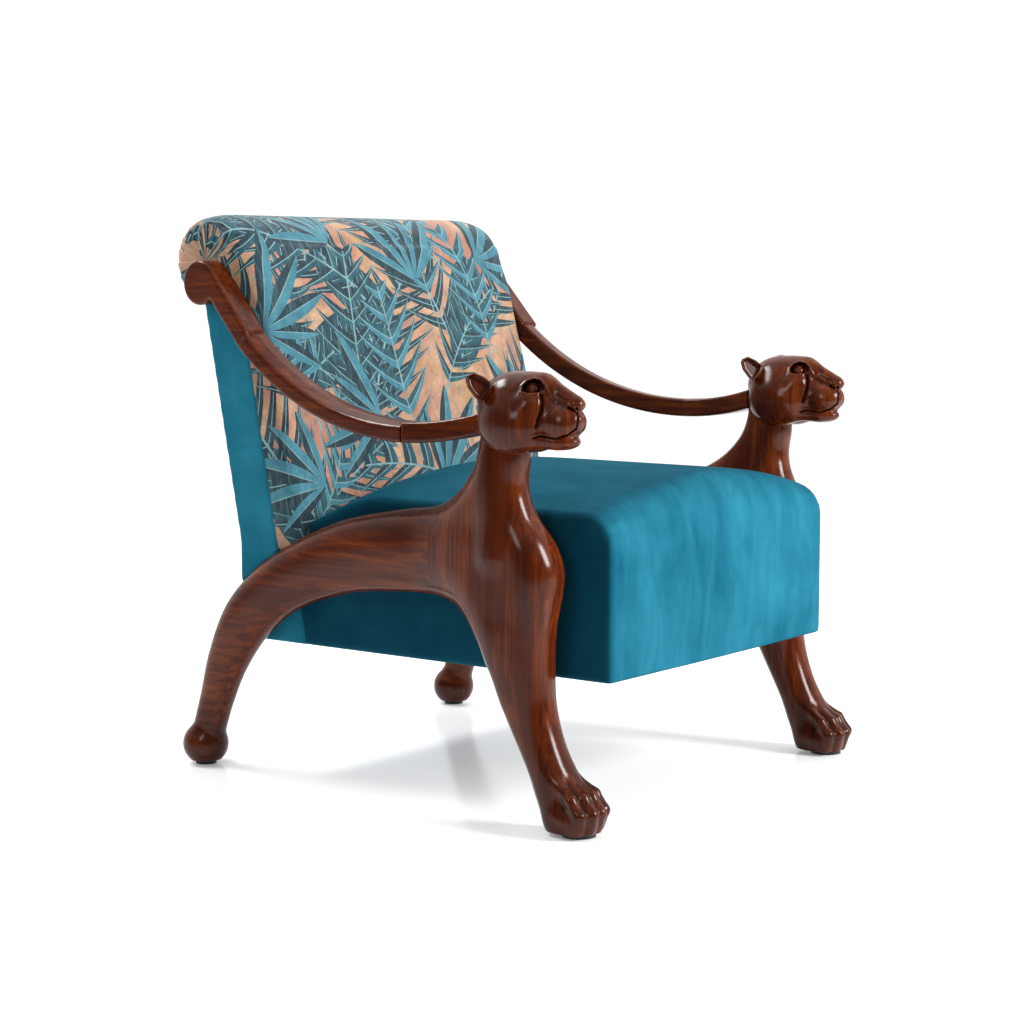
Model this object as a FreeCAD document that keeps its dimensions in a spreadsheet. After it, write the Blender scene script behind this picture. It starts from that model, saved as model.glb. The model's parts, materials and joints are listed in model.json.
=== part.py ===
import FreeCAD, Part
import math
import os
import re

import Sketcher
from FreeCAD import Placement, Rotation, Vector

# Armchair with carved panther sides: each side is a panther whose foreleg and hind leg carry a
# deep upholstered seat, and whose tail runs from the head as the armrest to a raked, rolled back.
# Millimetres, +Z up, the chair faces -Y, the sitter's left is +X, the origin is on the floor
# under the middle of the chair.

# Seat and the frame inside it
SEAT = {
    "seat_width": 534,
    "seat_front": -350,
    "seat_rear": 185,
    "seat_bottom": 189,
    "seat_seam_height": 402,
    "seat_crown": 42,
    "seat_nose_radius": 46,
    "seat_front_swell": 5,
    "cover_thick": 2,
    "rail_thick": 26,
    "rail_bottom": 191,
    "rail_top": 331,
    "strap_wide": 50,
    "strap_thick": 2,
    "strap_pitch_across": 92,
    "strap_pitch_along": 88,
    "block_leg": 74,
    "block_bottom": 240,
    "block_height": 50,
    "frame_dowel_radius": 5,
    "frame_dowel_long": 50,
    "frame_dowel_entry": 20,
    "frame_dowel_low": 225,
    "frame_dowel_high": 298,
    "frame_dowel_step": 24,
}

# Raked back and its roll
BACK = {
    "back_width": 590,
    "back_rake": 11,
    "back_pad_bottom": 338,
    "back_pad_foot": 187,
    "back_pad_turn": 15,
    "back_pad_slack": 1.5,
    "post_front": 201,
    "post_deep": 60,
    "post_top": 690,
    "wing_front_foot": 337,
    "wing_rear_foot": 296,
    "roll_back": 327,
    "roll_height": 725,
    "roll_radius": 63,
    "roll_end_radius": 56,
    "roll_taper": 42,
    "panel_turn": 12,
    "pole_radius": 25,
    "post_head_radius": 42,
    "lumbar_height": 500,
    "lumbar_tall": 60,
    "back_strap_first": 375,
    "back_strap_pitch": 62,
}

# Carved sides
SIDE = {
    "leg_offset": 316,
    "neck_offset": 326,
    "head_offset": 328,
    "haunch_offset": 290,
    "blade_offset": 313,
    "withers_offset": 303,
    "inner_face_top": 470,
    "glue_joint": -112,
    "sole_height": 5,
    "paw_height": 27,
    "heel_back": -322,
    "heel_half_wide": 33,
    "heel_half_long": 38,
    "heel_half_tall": 30,
    "forefoot_back": -345,
    "forefoot_half_wide": 38,
    "forefoot_half_long": 32,
    "forefoot_half_tall": 29,
    "toe_height": 24,
    "toe_back": -360,
    "outer_toe_back": -353,
    "toe_spacing": 18.5,
    "toe_half_wide": 10.5,
    "toe_half_long": 27,
    "toe_half_tall": 22,
    "ball_offset": 289,
    "ball_back": 346,
    "ball_height": 30,
    "ball_radius": 33,
    "front_glide_radius": 22,
    "hind_glide_radius": 15,
    "front_glide_back": -338,
    "glide_nail_radius": 2,
    "glide_nail_long": 14,
    "haunch_dowel_offset": 294,
    "haunch_dowel_low": 318,
    "haunch_dowel_high": 374,
    "side_dowel_radius": 6,
    "side_dowel_long": 60,
    "head_dowel_back": -230,
    "head_dowel_radius": 9,
    "head_dowel_foot": 440,
    "head_dowel_long": 85,
    "bolt_radius": 4,
    "bolt_long": 60,
    "bolt_head_radius": 7.5,
    "bolt_head_tall": 5.5,
    "washer_radius": 10,
    "washer_thick": 1.6,
    "insert_set": 6,
    "insert_radius": 6.5,
    "insert_long": 22,
}

# The tail that makes the armrest
ARM = {
    "arm_joint": -80,
    "arm_centre_height": 954,
    "arm_radius": 465,
    "arm_tall": 27,
    "arm_bevel": 9,
    "arm_wide": 38,
    "arm_edge": 4,
    "arm_bow": 336,
    "arm_rail_yaw": 3.6,
    "arm_front_yaw": -6.6,
    "arm_sweep": 41.5,
    "arm_front_sweep": 17,
    "arm_overlap": 2,
    "scroll_back": 308,
    "scroll_height": 694,
    "scroll_radius": 31,
    "scroll_rise": 50,
    "scroll_under": 44,
    "arm_dowel_radius": 5,
    "arm_dowel_long": 46,
    "tail_dowel_offset": 325,
    "tail_dowel_back": -212,
    "tail_dowel_long": 50,
    "tail_dowel_height": 511,
    "arm_screw_radius": 3,
    "arm_screw_long": 74,
    "arm_screw_head_radius": 6,
    "arm_screw_head_tall": 4,
}

# Sections up the foreleg, chest and neck: height, set back, depth, width
FORELEG = {
    "sole": (18, -325, 52, 52),
    "pastern": (50, -308, 64, 61),
    "wrist": (97, -286, 62, 59),
    "forearm": (150, -262, 71, 66),
    "elbow": (210, -248, 88, 86),
    "shoulder": (275, -241, 107, 104),
    "chest": (335, -236, 114, 108),
    "throat": (390, -222, 92, 84),
    "neck": (440, -221, 77, 70),
    "nape": (492, -229, 66, 62),
}

# Sections from the chest back to the glued joint: height, set back, depth, width
BLADE = {
    "chest": (330, -215, 168, 82),
    "withers": (342, -155, 138, 72),
    "joint": (346, -112, 117, 62),
}

# Sections along the haunch and down the hind leg: height, set back, depth, width
HAUNCH = {
    "joint": (346, -112, 117, 62),
    "flank": (338, -25, 108, 62),
    "loin": (322, 70, 98, 62),
    "rump": (288, 163, 86, 60),
    "thigh": (254, 220, 81, 56),
    "stifle": (213, 263, 76, 54),
    "shank": (156, 298, 63, 48),
    "hock": (100, 321, 51, 44),
    "ankle": (66, 333, 48, 44),
    "heel": (36, 343, 47, 45),
}

# Sections of the head from the occiput to the nose: height, set back, depth, width
HEAD = {
    "occiput": (519, -196, 66, 60),
    "poll": (524, -222, 100, 90),
    "brow": (529, -264, 110, 100),
    "cheek": (527, -296, 96, 88),
    "bridge": (526, -322, 76, 68),
    "muzzle": (526, -344, 58, 56),
    "nose": (529, -357, 36, 36),
}

# Lumps of the head: outward from its middle, set back, height, then the three half sizes
HEAD_LUMPS = {
    "whisker_pad": (14, -342, 519, 16, 19, 17),
    "brow_ridge": (24, -286, 569, 15, 22, 11),
    "cheekbone": (38, -268, 525, 16, 32, 26),
    "eye": (30, -297, 557, 8, 8, 7),
    "ear": (43, -226, 570, 10, 19, 22),
}
CHIN = (0, -336, 501, 17, 20, 12)
EAR_LEAN = Rotation(Vector(0, 1, 0), 28)

# Places of the bolts that hold a carved side to the seat rail: set back, height
FORELEG_BOLTS = ((-250, 228), (-250, 300))
HAUNCH_BOLTS = ((-20, 313), (92, 301))

# Places of the screws that hold an armrest's scroll to the back: set back, height
ARM_SCREWS = (("scroll_back", "scroll_height"), (282, 664))

TOES = 4
STRAPS = 5

# Boxes that trim a piece reach clear of the chair on every side
REACH = 500
OUTWARD = (0, REACH)
LENGTHWAYS = (-REACH, REACH)
UPWARD = (0, 2 * REACH)

STATION_TABLES = {"foreleg": FORELEG, "blade": BLADE, "haunch": HAUNCH, "head": HEAD}
STATION_COLUMNS = ("height", "back", "deep", "wide")

# How a section lies: level, or upright across the chair's length
LEVEL = Rotation(Vector(0, 0, 1), 90)
UPRIGHT = Rotation(Vector(0, 0, 1), Vector(1, 0, 0), Vector(0, 1, 0), "ZXY")

doc = FreeCAD.newDocument("panther_armchair")
sheet = doc.addObject("Spreadsheet::Sheet", "Dimensions")
NODES = []


def fill_sheet():
    """Write every driving dimension into its own aliased cell."""
    values = {**SEAT, **BACK, **SIDE, **ARM}
    for part, table in STATION_TABLES.items():
        for name, row in table.items():
            for column, value in zip(STATION_COLUMNS, row):
                values[f"{part}_{name}_{column}"] = value
    for row, (alias, value) in enumerate(values.items(), start=1):
        sheet.set(f"A{row}", alias)
        sheet.set(f"B{row}", str(value))
        sheet.setAlias(f"B{row}", alias)
    doc.recompute()
    return values


CELLS = fill_sheet()


def value(expression):
    """What an expression of the sheet's aliases comes to."""
    return float(sheet.evalExpression(str(expression)))


def linked(expression):
    """An expression with its aliases pointed at their cells."""
    def cell(match):
        word = match.group(0)
        return f"Dimensions.{word}" if word in CELLS else word
    return re.sub(r"[a-z_]+[a-z]", cell, str(expression))


def bind(piece, **expressions):
    """Bind properties of an object to the sheet; x, y and z stand for its place."""
    for name, expression in expressions.items():
        path = f"Placement.Base.{name}" if name in "xyz" else name
        piece.setExpression(path, linked(expression))
    return piece


def add(kind, label):
    piece = doc.addObject(kind, label)
    piece.Label = label
    return piece


def node(piece, label):
    """Name a finished sub-part and keep it for export."""
    piece.Label = label
    NODES.append(piece)
    return piece


def box(label, x, y, z):
    """A box between a pair of expressions along each axis."""
    piece = bind(add("Part::Box", label), x=x[0], y=y[0], z=z[0])
    bind(piece, Length=f"{x[1]} - ({x[0]})", Width=f"{y[1]} - ({y[0]})")
    return bind(piece, Height=f"{z[1]} - ({z[0]})")


def rod(label, foot, axis, radius, length):
    """A cylinder from a foot point along an axis."""
    piece = add("Part::Cylinder", label)
    piece.Placement.Rotation = Rotation(Vector(0, 0, 1), Vector(*axis))
    return bind(piece, x=foot[0], y=foot[1], z=foot[2], Radius=radius, Height=length)


def lump(label, centre, radii, turn=Rotation()):
    """An ellipsoid with its half sizes along x, y and z before it is turned."""
    piece = add("Part::Ellipsoid", label)
    piece.Angle1 = -90
    piece.Placement.Rotation = turn
    bind(piece, x=centre[0], y=centre[1], z=centre[2])
    return bind(piece, Radius1=radii[2], Radius2=radii[0], Radius3=radii[1])


def station(part, name, offset, turn):
    """One elliptical section of a carved piece, its depth along the turned X axis."""
    key = f"{part}_{name}"
    piece = add("Part::Ellipse", f"{key}_section")
    piece.Placement.Rotation = turn
    bind(piece, x=offset, y=f"{key}_back", z=f"{key}_height")
    return bind(piece, MajorRadius=f"{key}_deep / 2", MinorRadius=f"{key}_wide / 2")


def loft(label, sections):
    piece = add("Part::Loft", label)
    piece.Sections = sections
    piece.Solid = True
    piece.Ruled = False
    return piece


def fuse(label, pieces):
    piece = add("Part::MultiFuse", label)
    piece.Shapes = pieces
    return piece


def group(label, pieces):
    piece = add("Part::Compound", label)
    piece.Links = pieces
    return piece


def cut(label, base, tools):
    """A piece less one tool after another."""
    for index, tool in enumerate(tools):
        piece = add("Part::Cut", f"{label}_cut_{index}")
        piece.Base = base
        piece.Tool = tool
        base = piece
    return base


def mirror(label, source):
    """The same piece on the other side of the chair."""
    piece = add("Part::Mirroring", label)
    piece.Source = source
    piece.Normal = Vector(1, 0, 0)
    return piece


def both_sides(name, left):
    """Keep a piece of the left side and its mirror image as two nodes."""
    node(left, f"left_{name}")
    return node(mirror(f"right_{name}", left), f"right_{name}")


def mirrored_group(label, pieces):
    """One node of like pieces on both sides."""
    twins = [mirror(f"{piece.Label}_twin", piece) for piece in pieces]
    return node(group(label, pieces + twins), label)


def plane_of(body, role):
    return [plane for plane in body.Origin.OriginFeatures if plane.Role == role][0]


def new_sketch(body, name, role, lift="0"):
    """A sketch on one of a body's own planes, lifted off it along the plane's normal."""
    sketch = body.newObject("Sketcher::SketchObject", name)
    sketch.AttachmentSupport = [(plane_of(body, role), "")]
    sketch.MapMode = "FlatFace"
    sketch.setExpression("AttachmentOffset.Base.z", linked(lift))
    return sketch


def hold(sketch, kind, geometry, point, expression):
    """Bind one distance of a sketch point from the origin to the sheet."""
    limit = Sketcher.Constraint(kind, -1, 1, geometry, point, value(expression))
    sketch.setExpression(f"Constraints[{sketch.addConstraint(limit)}]", linked(expression))


def polygon(sketch, corners):
    """A closed outline of straight sides whose corners are pairs of expressions."""
    points = [Vector(value(across), value(up), 0) for across, up in corners]
    count = len(points)
    for index in range(count):
        sketch.addGeometry(Part.LineSegment(points[index], points[(index + 1) % count]))
    for index in range(count):
        sketch.addConstraint(Sketcher.Constraint("Coincident", index, 2, (index + 1) % count, 1))
    for index, (across, up) in enumerate(corners):
        hold(sketch, "DistanceX", index, 1, across)
        hold(sketch, "DistanceY", index, 1, up)


def circle(sketch, across, up, radius):
    """A circle whose centre and radius are expressions."""
    centre = Vector(value(across), value(up), 0)
    index = sketch.addGeometry(Part.Circle(centre, Vector(0, 0, 1), value(radius)))
    hold(sketch, "DistanceX", index, 3, across)
    hold(sketch, "DistanceY", index, 3, up)
    limit = sketch.addConstraint(Sketcher.Constraint("Radius", index, value(radius)))
    sketch.setExpression(f"Constraints[{limit}]", linked(radius))


def pad(body, sketch, length):
    feature = body.newObject("PartDesign::Pad", f"{sketch.Label}_pad")
    feature.Profile = sketch
    feature.setExpression("Length", linked(length))
    body.Tip = feature
    return feature


def board(label, corners, thick, lift, role="YZ_Plane"):
    """A sawn board: an outline on one of its own planes, padded to its thickness."""
    body = add("PartDesign::Body", label)
    sketch = new_sketch(body, f"{label}_outline", role, lift)
    polygon(sketch, corners)
    pad(body, sketch, thick)
    return body


def soft(label, shape):
    """A soft form whose shape is worked out from the sheet's sizes."""
    piece = add("Part::Feature", label)
    piece.Shape = shape
    piece.Placement = Placement()
    return piece


SIDE_PLANE = "seat_width / 2"
RAIL_FACE = "seat_width / 2 - cover_thick"
RAIL_INNER = "seat_width / 2 - cover_thick - rail_thick"
BACK_FACE = "back_width / 2 - cover_thick"
REAR_FACE = "post_front + post_deep"


def raked(start, height):
    """Expression for a raked face's set back at a height, from where it stands on the rail."""
    return f"{start} + ({height} - rail_top) * tan(back_rake * 1 deg)"


# Carved sides
def carve_head():
    """Skull and muzzle as one form, with pads, brows, cheeks, eyes, ears and chin on it."""
    skull = loft("head_skull", [station("head", name, "head_offset", UPRIGHT) for name in HEAD])
    lumps = [lump("head_chin", ("head_offset", CHIN[1], CHIN[2]), CHIN[3:])]
    for name, (out, back, height, *radii) in HEAD_LUMPS.items():
        for side in (-1, 1):
            turn = EAR_LEAN if name == "ear" and side > 0 else Rotation()
            if name == "ear" and side < 0:
                turn = EAR_LEAN.inverted()
            label = f"head_{name}_{'inner' if side < 0 else 'outer'}"
            lumps.append(lump(label, (f"head_offset + {side * out}", back, height), radii, turn))
    return fuse("head_carving", [skull] + lumps)


def half_sizes(name):
    return [f"{name}_half_{way}" for way in ("wide", "long", "tall")]


def carve_foreleg():
    """Foreleg, chest and neck as one post, with the shoulder blade and the paw on it."""
    outward = {"throat": "(leg_offset + neck_offset) / 2", "neck": "neck_offset", "nape": "neck_offset"}
    leg = loft("foreleg_leg", [
        station("foreleg", name, outward.get(name, "leg_offset"), LEVEL) for name in FORELEG])
    inward = {"chest": "blade_offset", "withers": "withers_offset", "joint": "haunch_offset"}
    blade = loft("foreleg_blade", [station("blade", name, inward[name], UPRIGHT) for name in BLADE])
    paw = [
        lump(f"paw_{name}", ("leg_offset", f"{name}_back", "paw_height"), half_sizes(name))
        for name in ("heel", "forefoot")]
    for index in range(TOES):
        step = index - (TOES - 1) / 2
        back = "toe_back" if abs(step) < 1 else "outer_toe_back"
        place = (f"leg_offset + {step} * toe_spacing", back, "toe_height")
        paw.append(lump(f"paw_toe_{index}", place, half_sizes("toe")))
    limb = fuse("foreleg_limb", [leg, blade])
    return fuse("foreleg_carving", [limb, fuse("foreleg_paw", paw)])


def carve_haunch():
    """Flank, thigh and hind leg as one arch, down to the ball under its foot."""
    names = list(HAUNCH)
    sections = []
    for index, name in enumerate(names):
        before = HAUNCH[names[max(index - 1, 0)]]
        after = HAUNCH[names[min(index + 1, len(names) - 1)]]
        along = Vector(0, after[1] - before[1], after[0] - before[0])
        turn = Rotation(Vector(0, -along.z, along.y), Vector(1, 0, 0), along, "ZXY")
        sections.append(station("haunch", name, "haunch_offset", UPRIGHT if index == 0 else turn))
    ball = add("Part::Sphere", "hind_ball")
    bind(ball, x="ball_offset", y="ball_back", z="ball_height", Radius="ball_radius")
    return fuse("haunch_carving", [loft("haunch_leg", sections), ball])


def glide(label, x, y, radius):
    """A nail-on glide: a low disc that stands on the floor, with its nail up in the foot."""
    disc = rod(f"{label}_disc", (x, y, 0), (0, 0, 1), radius, "sole_height")
    nail = rod(f"{label}_nail", (x, y, 0), (0, 0, 1), "glide_nail_radius", "sole_height + glide_nail_long")
    return fuse(label, [disc, nail]), nail


def side_fixings():
    """Bolts through the seat rail into threaded inserts in a carved side, with their washers."""
    bolts, washers, inserts = [], [], []
    for index, (back, height) in enumerate(FORELEG_BOLTS + HAUNCH_BOLTS):
        head_face = f"{RAIL_INNER} - washer_thick"
        place = (head_face, back, height)
        head = add("Part::Prism", f"bolt_head_{index}")
        head.Polygon = 6
        head.Placement.Rotation = Rotation(Vector(0, 0, 1), Vector(1, 0, 0))
        bind(head, x=f"{head_face} - bolt_head_tall", y=back, z=height)
        bind(head, Circumradius="bolt_head_radius", Height="bolt_head_tall")
        shank = rod(f"bolt_shank_{index}", place, (1, 0, 0), "bolt_radius", "bolt_long")
        bolts.append(fuse(f"bolt_{index}", [head, shank]))
        disc = rod(f"washer_disc_{index}", place, (1, 0, 0), "washer_radius", "washer_thick")
        washers += [cut(f"washer_{index}", disc, [shank])]
        sleeve = rod(f"insert_sleeve_{index}", (f"{SIDE_PLANE} + insert_set", back, height), (1, 0, 0),
                     "insert_radius", "insert_long")
        inserts += [cut(f"insert_{index}", sleeve, [shank])]
    return bolts, washers, inserts


def carved_sides(arm_tools):
    """Both panthers: head, foreleg post and haunch, with what joins them to each other."""
    inner = box("inner_waste", (0, SIDE_PLANE), LENGTHWAYS, ("seat_bottom", "inner_face_top"))
    floor = box("floor_waste", OUTWARD, LENGTHWAYS, (-REACH, "sole_height"))
    behind = box("behind_joint", OUTWARD, ("glue_joint", REACH), UPWARD)
    head_dowel = rod("head_dowel", ("neck_offset", "head_dowel_back", "head_dowel_foot"), (0, 0, 1),
                     "head_dowel_radius", "head_dowel_long")
    haunch_dowels = []
    for name in ("haunch_dowel_low", "haunch_dowel_high"):
        foot = ("haunch_dowel_offset", "glue_joint - side_dowel_long / 2", name)
        haunch_dowels.append(rod(f"{name}_rod", foot, (0, 1, 0), "side_dowel_radius", "side_dowel_long"))
    front_glide, front_nail = glide("front_glide", "leg_offset", "front_glide_back", "front_glide_radius")
    hind_glide, hind_nail = glide("hind_glide", "ball_offset", "ball_back", "hind_glide_radius")
    bolts, washers, inserts = side_fixings()
    head = cut("panther_head", carve_head(), [head_dowel, arm_tools["tail_dowel"]])
    post = cut("foreleg_post", carve_foreleg(), [
        inner, floor, behind, head, head_dowel, *haunch_dowels, front_nail, *bolts[:2], *inserts[:2]])
    haunch = cut("haunch", carve_haunch(), [
        inner, floor, *haunch_dowels, hind_nail, *bolts[2:], *inserts[2:]])
    both_sides("panther_head", head)
    both_sides("foreleg_post", post)
    both_sides("haunch", haunch)
    mirrored_group("head_dowels", [head_dowel])
    mirrored_group("haunch_dowels", haunch_dowels)
    mirrored_group("front_glides", [front_glide])
    mirrored_group("hind_glides", [hind_glide])
    mirrored_group("side_bolts", bolts)
    mirrored_group("side_washers", washers)
    mirrored_group("side_inserts", inserts)
    return head, bolts


# Armrests
def arm_sweep_body(label, angle, back_angle, yaw, bevel):
    """A stretch of the tail, its section turned about the centre of the arm's sag."""
    body = add("PartDesign::Body", label)
    sketch = new_sketch(body, f"{label}_section", "XZ_Plane")
    top = "arm_tall - arm_radius"
    corners = [("-arm_wide / 2", "-arm_radius"), ("arm_wide / 2", "-arm_radius")]
    if bevel:
        corners += [("arm_wide / 2", f"{top} - arm_bevel"), ("arm_wide / 2 - arm_bevel", top)]
    else:
        corners += [("arm_wide / 2", top)]
    polygon(sketch, corners + [("-arm_wide / 2", top)])
    turn = body.newObject("PartDesign::Revolution", f"{label}_turn")
    turn.Profile = sketch
    turn.ReferenceAxis = (plane_of(body, "X_Axis"), [""])
    turn.Type = "TwoAngles"
    turn.setExpression("Angle", linked(angle))
    turn.setExpression("Angle2", linked(back_angle))
    body.Tip = turn
    doc.recompute()
    long_edges = [
        f"Edge{index}" for index, edge in enumerate(turn.Shape.Edges, start=1)
        if edge.Length > value("2 * arm_wide")]
    round_over = body.newObject("PartDesign::Fillet", f"{label}_edges")
    round_over.Base = (turn, long_edges)
    round_over.setExpression("Radius", linked("arm_edge"))
    body.Tip = round_over
    return seat_arm(body, yaw)


def seat_arm(body, yaw):
    """Stand an arm piece at the centre of the arm's sag, turned outwards about the joint."""
    body.Placement.Rotation = Rotation(Vector(0, 0, 1), value(yaw))
    return bind(body, x="arm_bow", y="arm_joint", z="arm_centre_height")


def scroll_body():
    """The straight end of the tail, rising to a roundel on the side of the roll."""
    body = add("PartDesign::Body", "arm_scroll_blank")
    across = "scroll_back - arm_joint"
    up = "scroll_height - arm_centre_height"
    end = "arm_sweep * 1 deg"
    rise = "scroll_rise * 1 deg"
    under = "scroll_under * 1 deg"
    top = "(arm_radius - arm_tall)"
    bar = new_sketch(body, "scroll_bar", "YZ_Plane", "-arm_wide / 2")
    polygon(bar, [
        (f"arm_radius * sin({end})", f"-arm_radius * cos({end})"),
        (f"{across} - scroll_radius * cos({under})", f"{up} - scroll_radius * sin({under})"),
        (across, up),
        (f"{across} - scroll_radius * sin({rise})", f"{up} + scroll_radius * cos({rise})"),
        (f"{top} * sin({end})", f"-{top} * cos({end})"),
    ])
    pad(body, bar, "arm_wide")
    roundel = new_sketch(body, "scroll_roundel", "YZ_Plane", "-arm_wide / 2")
    circle(roundel, across, up, "scroll_radius")
    pad(body, roundel, "arm_wide")
    return seat_arm(body, "arm_rail_yaw")


def arm_fixings():
    """Dowels along the tail, and screws from inside the back into its scroll end."""
    middle = "(arm_radius - arm_tall / 2)"
    level = f"arm_centre_height - {middle}"
    lean = math.radians(value("arm_sweep"))
    yaw = math.radians(value("arm_rail_yaw"))
    reach = value(middle) * math.sin(lean)
    end_point = (value("arm_bow") - reach * math.sin(yaw), value("arm_joint") + reach * math.cos(yaw),
                 value("arm_centre_height") - value(middle) * math.cos(lean))
    along = (-math.sin(yaw) * math.cos(lean), math.cos(yaw) * math.cos(lean), math.sin(lean))
    half = value("arm_dowel_long") / 2
    foot = [point - half * step for point, step in zip(end_point, along)]
    joint_foot = ("arm_bow", "arm_joint - arm_dowel_long / 2", level)
    tail_foot = ("tail_dowel_offset", "tail_dowel_back", "tail_dowel_height")
    return {
        "joint_dowel": rod("arm_joint_dowel", joint_foot, (0, 1, 0), "arm_dowel_radius", "arm_dowel_long"),
        "scroll_dowel": rod("arm_scroll_dowel", foot, along, "arm_dowel_radius", "arm_dowel_long"),
        "tail_dowel": rod("arm_tail_dowel", tail_foot, (0, 1, 0), "arm_dowel_radius", "tail_dowel_long"),
    }


def arm_screws():
    screws = []
    for index, (back, height) in enumerate(ARM_SCREWS):
        head_foot = (f"{RAIL_INNER} - arm_screw_head_tall", back, height)
        head = rod(f"arm_screw_head_{index}", head_foot, (1, 0, 0), "arm_screw_head_radius",
                   "arm_screw_head_tall")
        shank = rod(f"arm_screw_shank_{index}", (RAIL_INNER, back, height), (1, 0, 0),
                    "arm_screw_radius", "arm_screw_long")
        screws.append(fuse(f"arm_screw_{index}", [head, shank]))
    return screws


def armrests(head, tools, screws):
    """Three lengths of tail on each side: the front end, the sagging rail and the scroll."""
    ahead = box("ahead_of_joint", OUTWARD, (-REACH, "arm_joint"), UPWARD)
    after = box("after_joint", OUTWARD, ("arm_joint", REACH), UPWARD)
    inside = box("inside_back", (0, "back_width / 2"), LENGTHWAYS, UPWARD)
    rail = arm_sweep_body("arm_rail_blank", "arm_sweep", "arm_overlap", "arm_rail_yaw", True)
    front = arm_sweep_body("arm_front_blank", "arm_overlap", "arm_front_sweep", "arm_front_yaw", False)
    front_tools = [after, head, tools["joint_dowel"], tools["tail_dowel"]]
    both_sides("arm_front", cut("arm_front", front, front_tools))
    both_sides("arm_rail", cut("arm_rail", rail, [ahead, tools["joint_dowel"], tools["scroll_dowel"]]))
    both_sides("arm_scroll", cut("arm_scroll", scroll_body(), [inside, tools["scroll_dowel"], *screws]))
    mirrored_group("arm_dowels", list(tools.values()))


# Seat frame
def frame_dowels():
    """Dowels at the corners of the seat frame and at the ends of the lumbar rail."""
    middle = f"({RAIL_FACE} + {RAIL_INNER}) / 2"
    sized = ("frame_dowel_radius", "frame_dowel_long")
    front_foot = "seat_front + cover_thick + rail_thick - frame_dowel_entry"
    rear_foot = "post_front - frame_dowel_long / 2"
    cross_foot = f"{RAIL_INNER} + frame_dowel_entry - frame_dowel_long"
    rail_middle = "post_front + rail_thick / 2"
    steps = {"low": "frame_dowel_step", "high": "-frame_dowel_step"}
    sets = {"front": [], "rear": [], "lower": []}
    for name, step in steps.items():
        level = f"frame_dowel_{name}"
        sets["front"].append(rod(f"front_dowel_{name}", (middle, front_foot, level), (0, 1, 0), *sized))
        sets["rear"].append(rod(f"rear_dowel_{name}", (middle, rear_foot, level), (0, 1, 0), *sized))
        low_foot = (cross_foot, rail_middle, f"{level} + {step}")
        sets["lower"].append(rod(f"lower_dowel_{name}", low_foot, (1, 0, 0), *sized))
    lumbar_foot = (cross_foot, raked(rail_middle, "lumbar_height"), "lumbar_height")
    sets["lumbar"] = [rod("lumbar_dowel", lumbar_foot, (1, 0, 0), *sized)]
    return sets


def corner_block(label, back, turn):
    """A triangular glue block in a corner of the seat frame."""
    corners = [
        (f"{RAIL_INNER} - block_leg", back), (RAIL_INNER, back),
        (RAIL_INNER, f"{back} + {turn} * block_leg")]
    return board(label, corners, "block_height", "block_bottom", "XY_Plane")


def seat_straps():
    """Webbing over the seat frame: straps from front to back, then straps across them."""
    level = ("rail_top", "rail_top + strap_thick")
    above = ("rail_top + strap_thick", "rail_top + 2 * strap_thick")
    front_edge = "seat_front + cover_thick"
    along, across = [], []
    for index in range(STRAPS):
        left = f"{index - STRAPS // 2} * strap_pitch_across - strap_wide / 2"
        wide = (left, f"{left} + strap_wide")
        along.append(box(f"long_strap_{index}", wide, (front_edge, "post_front"), level))
        front = f"{index - STRAPS / 2} * strap_pitch_along - strap_wide / 2"
        wide = (front, f"{front} + strap_wide")
        across.append(box(f"cross_strap_{index}", (f"-({RAIL_FACE})", RAIL_FACE), wide, above))
    node(group("seat_straps_along", along), "seat_straps_along")
    node(group("seat_straps_across", across), "seat_straps_across")


def seat_frame(bolts, dowels):
    """Hardwood rails, corner blocks and webbing of the seat."""
    tall = ("rail_bottom", "rail_top")
    front_face = "seat_front + cover_thick"
    front_inner = f"{front_face} + rail_thick"
    front_rail = box("front_rail_blank", (f"-({RAIL_FACE})", RAIL_FACE), (front_face, front_inner), tall)
    twins = [mirror(f"{dowel.Label}_hole", dowel) for dowel in dowels["front"]]
    node(cut("seat_front_rail", front_rail, dowels["front"] + twins), "seat_front_rail")
    side = box("side_rail_blank", (RAIL_INNER, RAIL_FACE), (front_inner, "post_front"), tall)
    both_sides("seat_rail", cut("seat_rail", side, dowels["front"] + dowels["rear"] + bolts))
    blocks = [corner_block("front_block", front_inner, 1), corner_block("rear_block", "post_front", -1)]
    mirrored_group("corner_blocks", blocks)
    seat_straps()


# Back frame
def back_board(label, foot, near, thick):
    """A raked board of the back: its foot outline, then straight up the rake to a round head."""
    outline = foot + [
        (REAR_FACE, "rail_top"),
        (raked(REAR_FACE, "post_top"), "post_top"),
        (raked("post_front", "post_top"), "post_top"),
    ]
    raked_part = board(f"{label}_board", outline, thick, near)
    head = rod(f"{label}_head", (near, "roll_back", "roll_height"), (1, 0, 0), "post_head_radius", thick)
    return fuse(f"{label}_blank", [raked_part, head])


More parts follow.
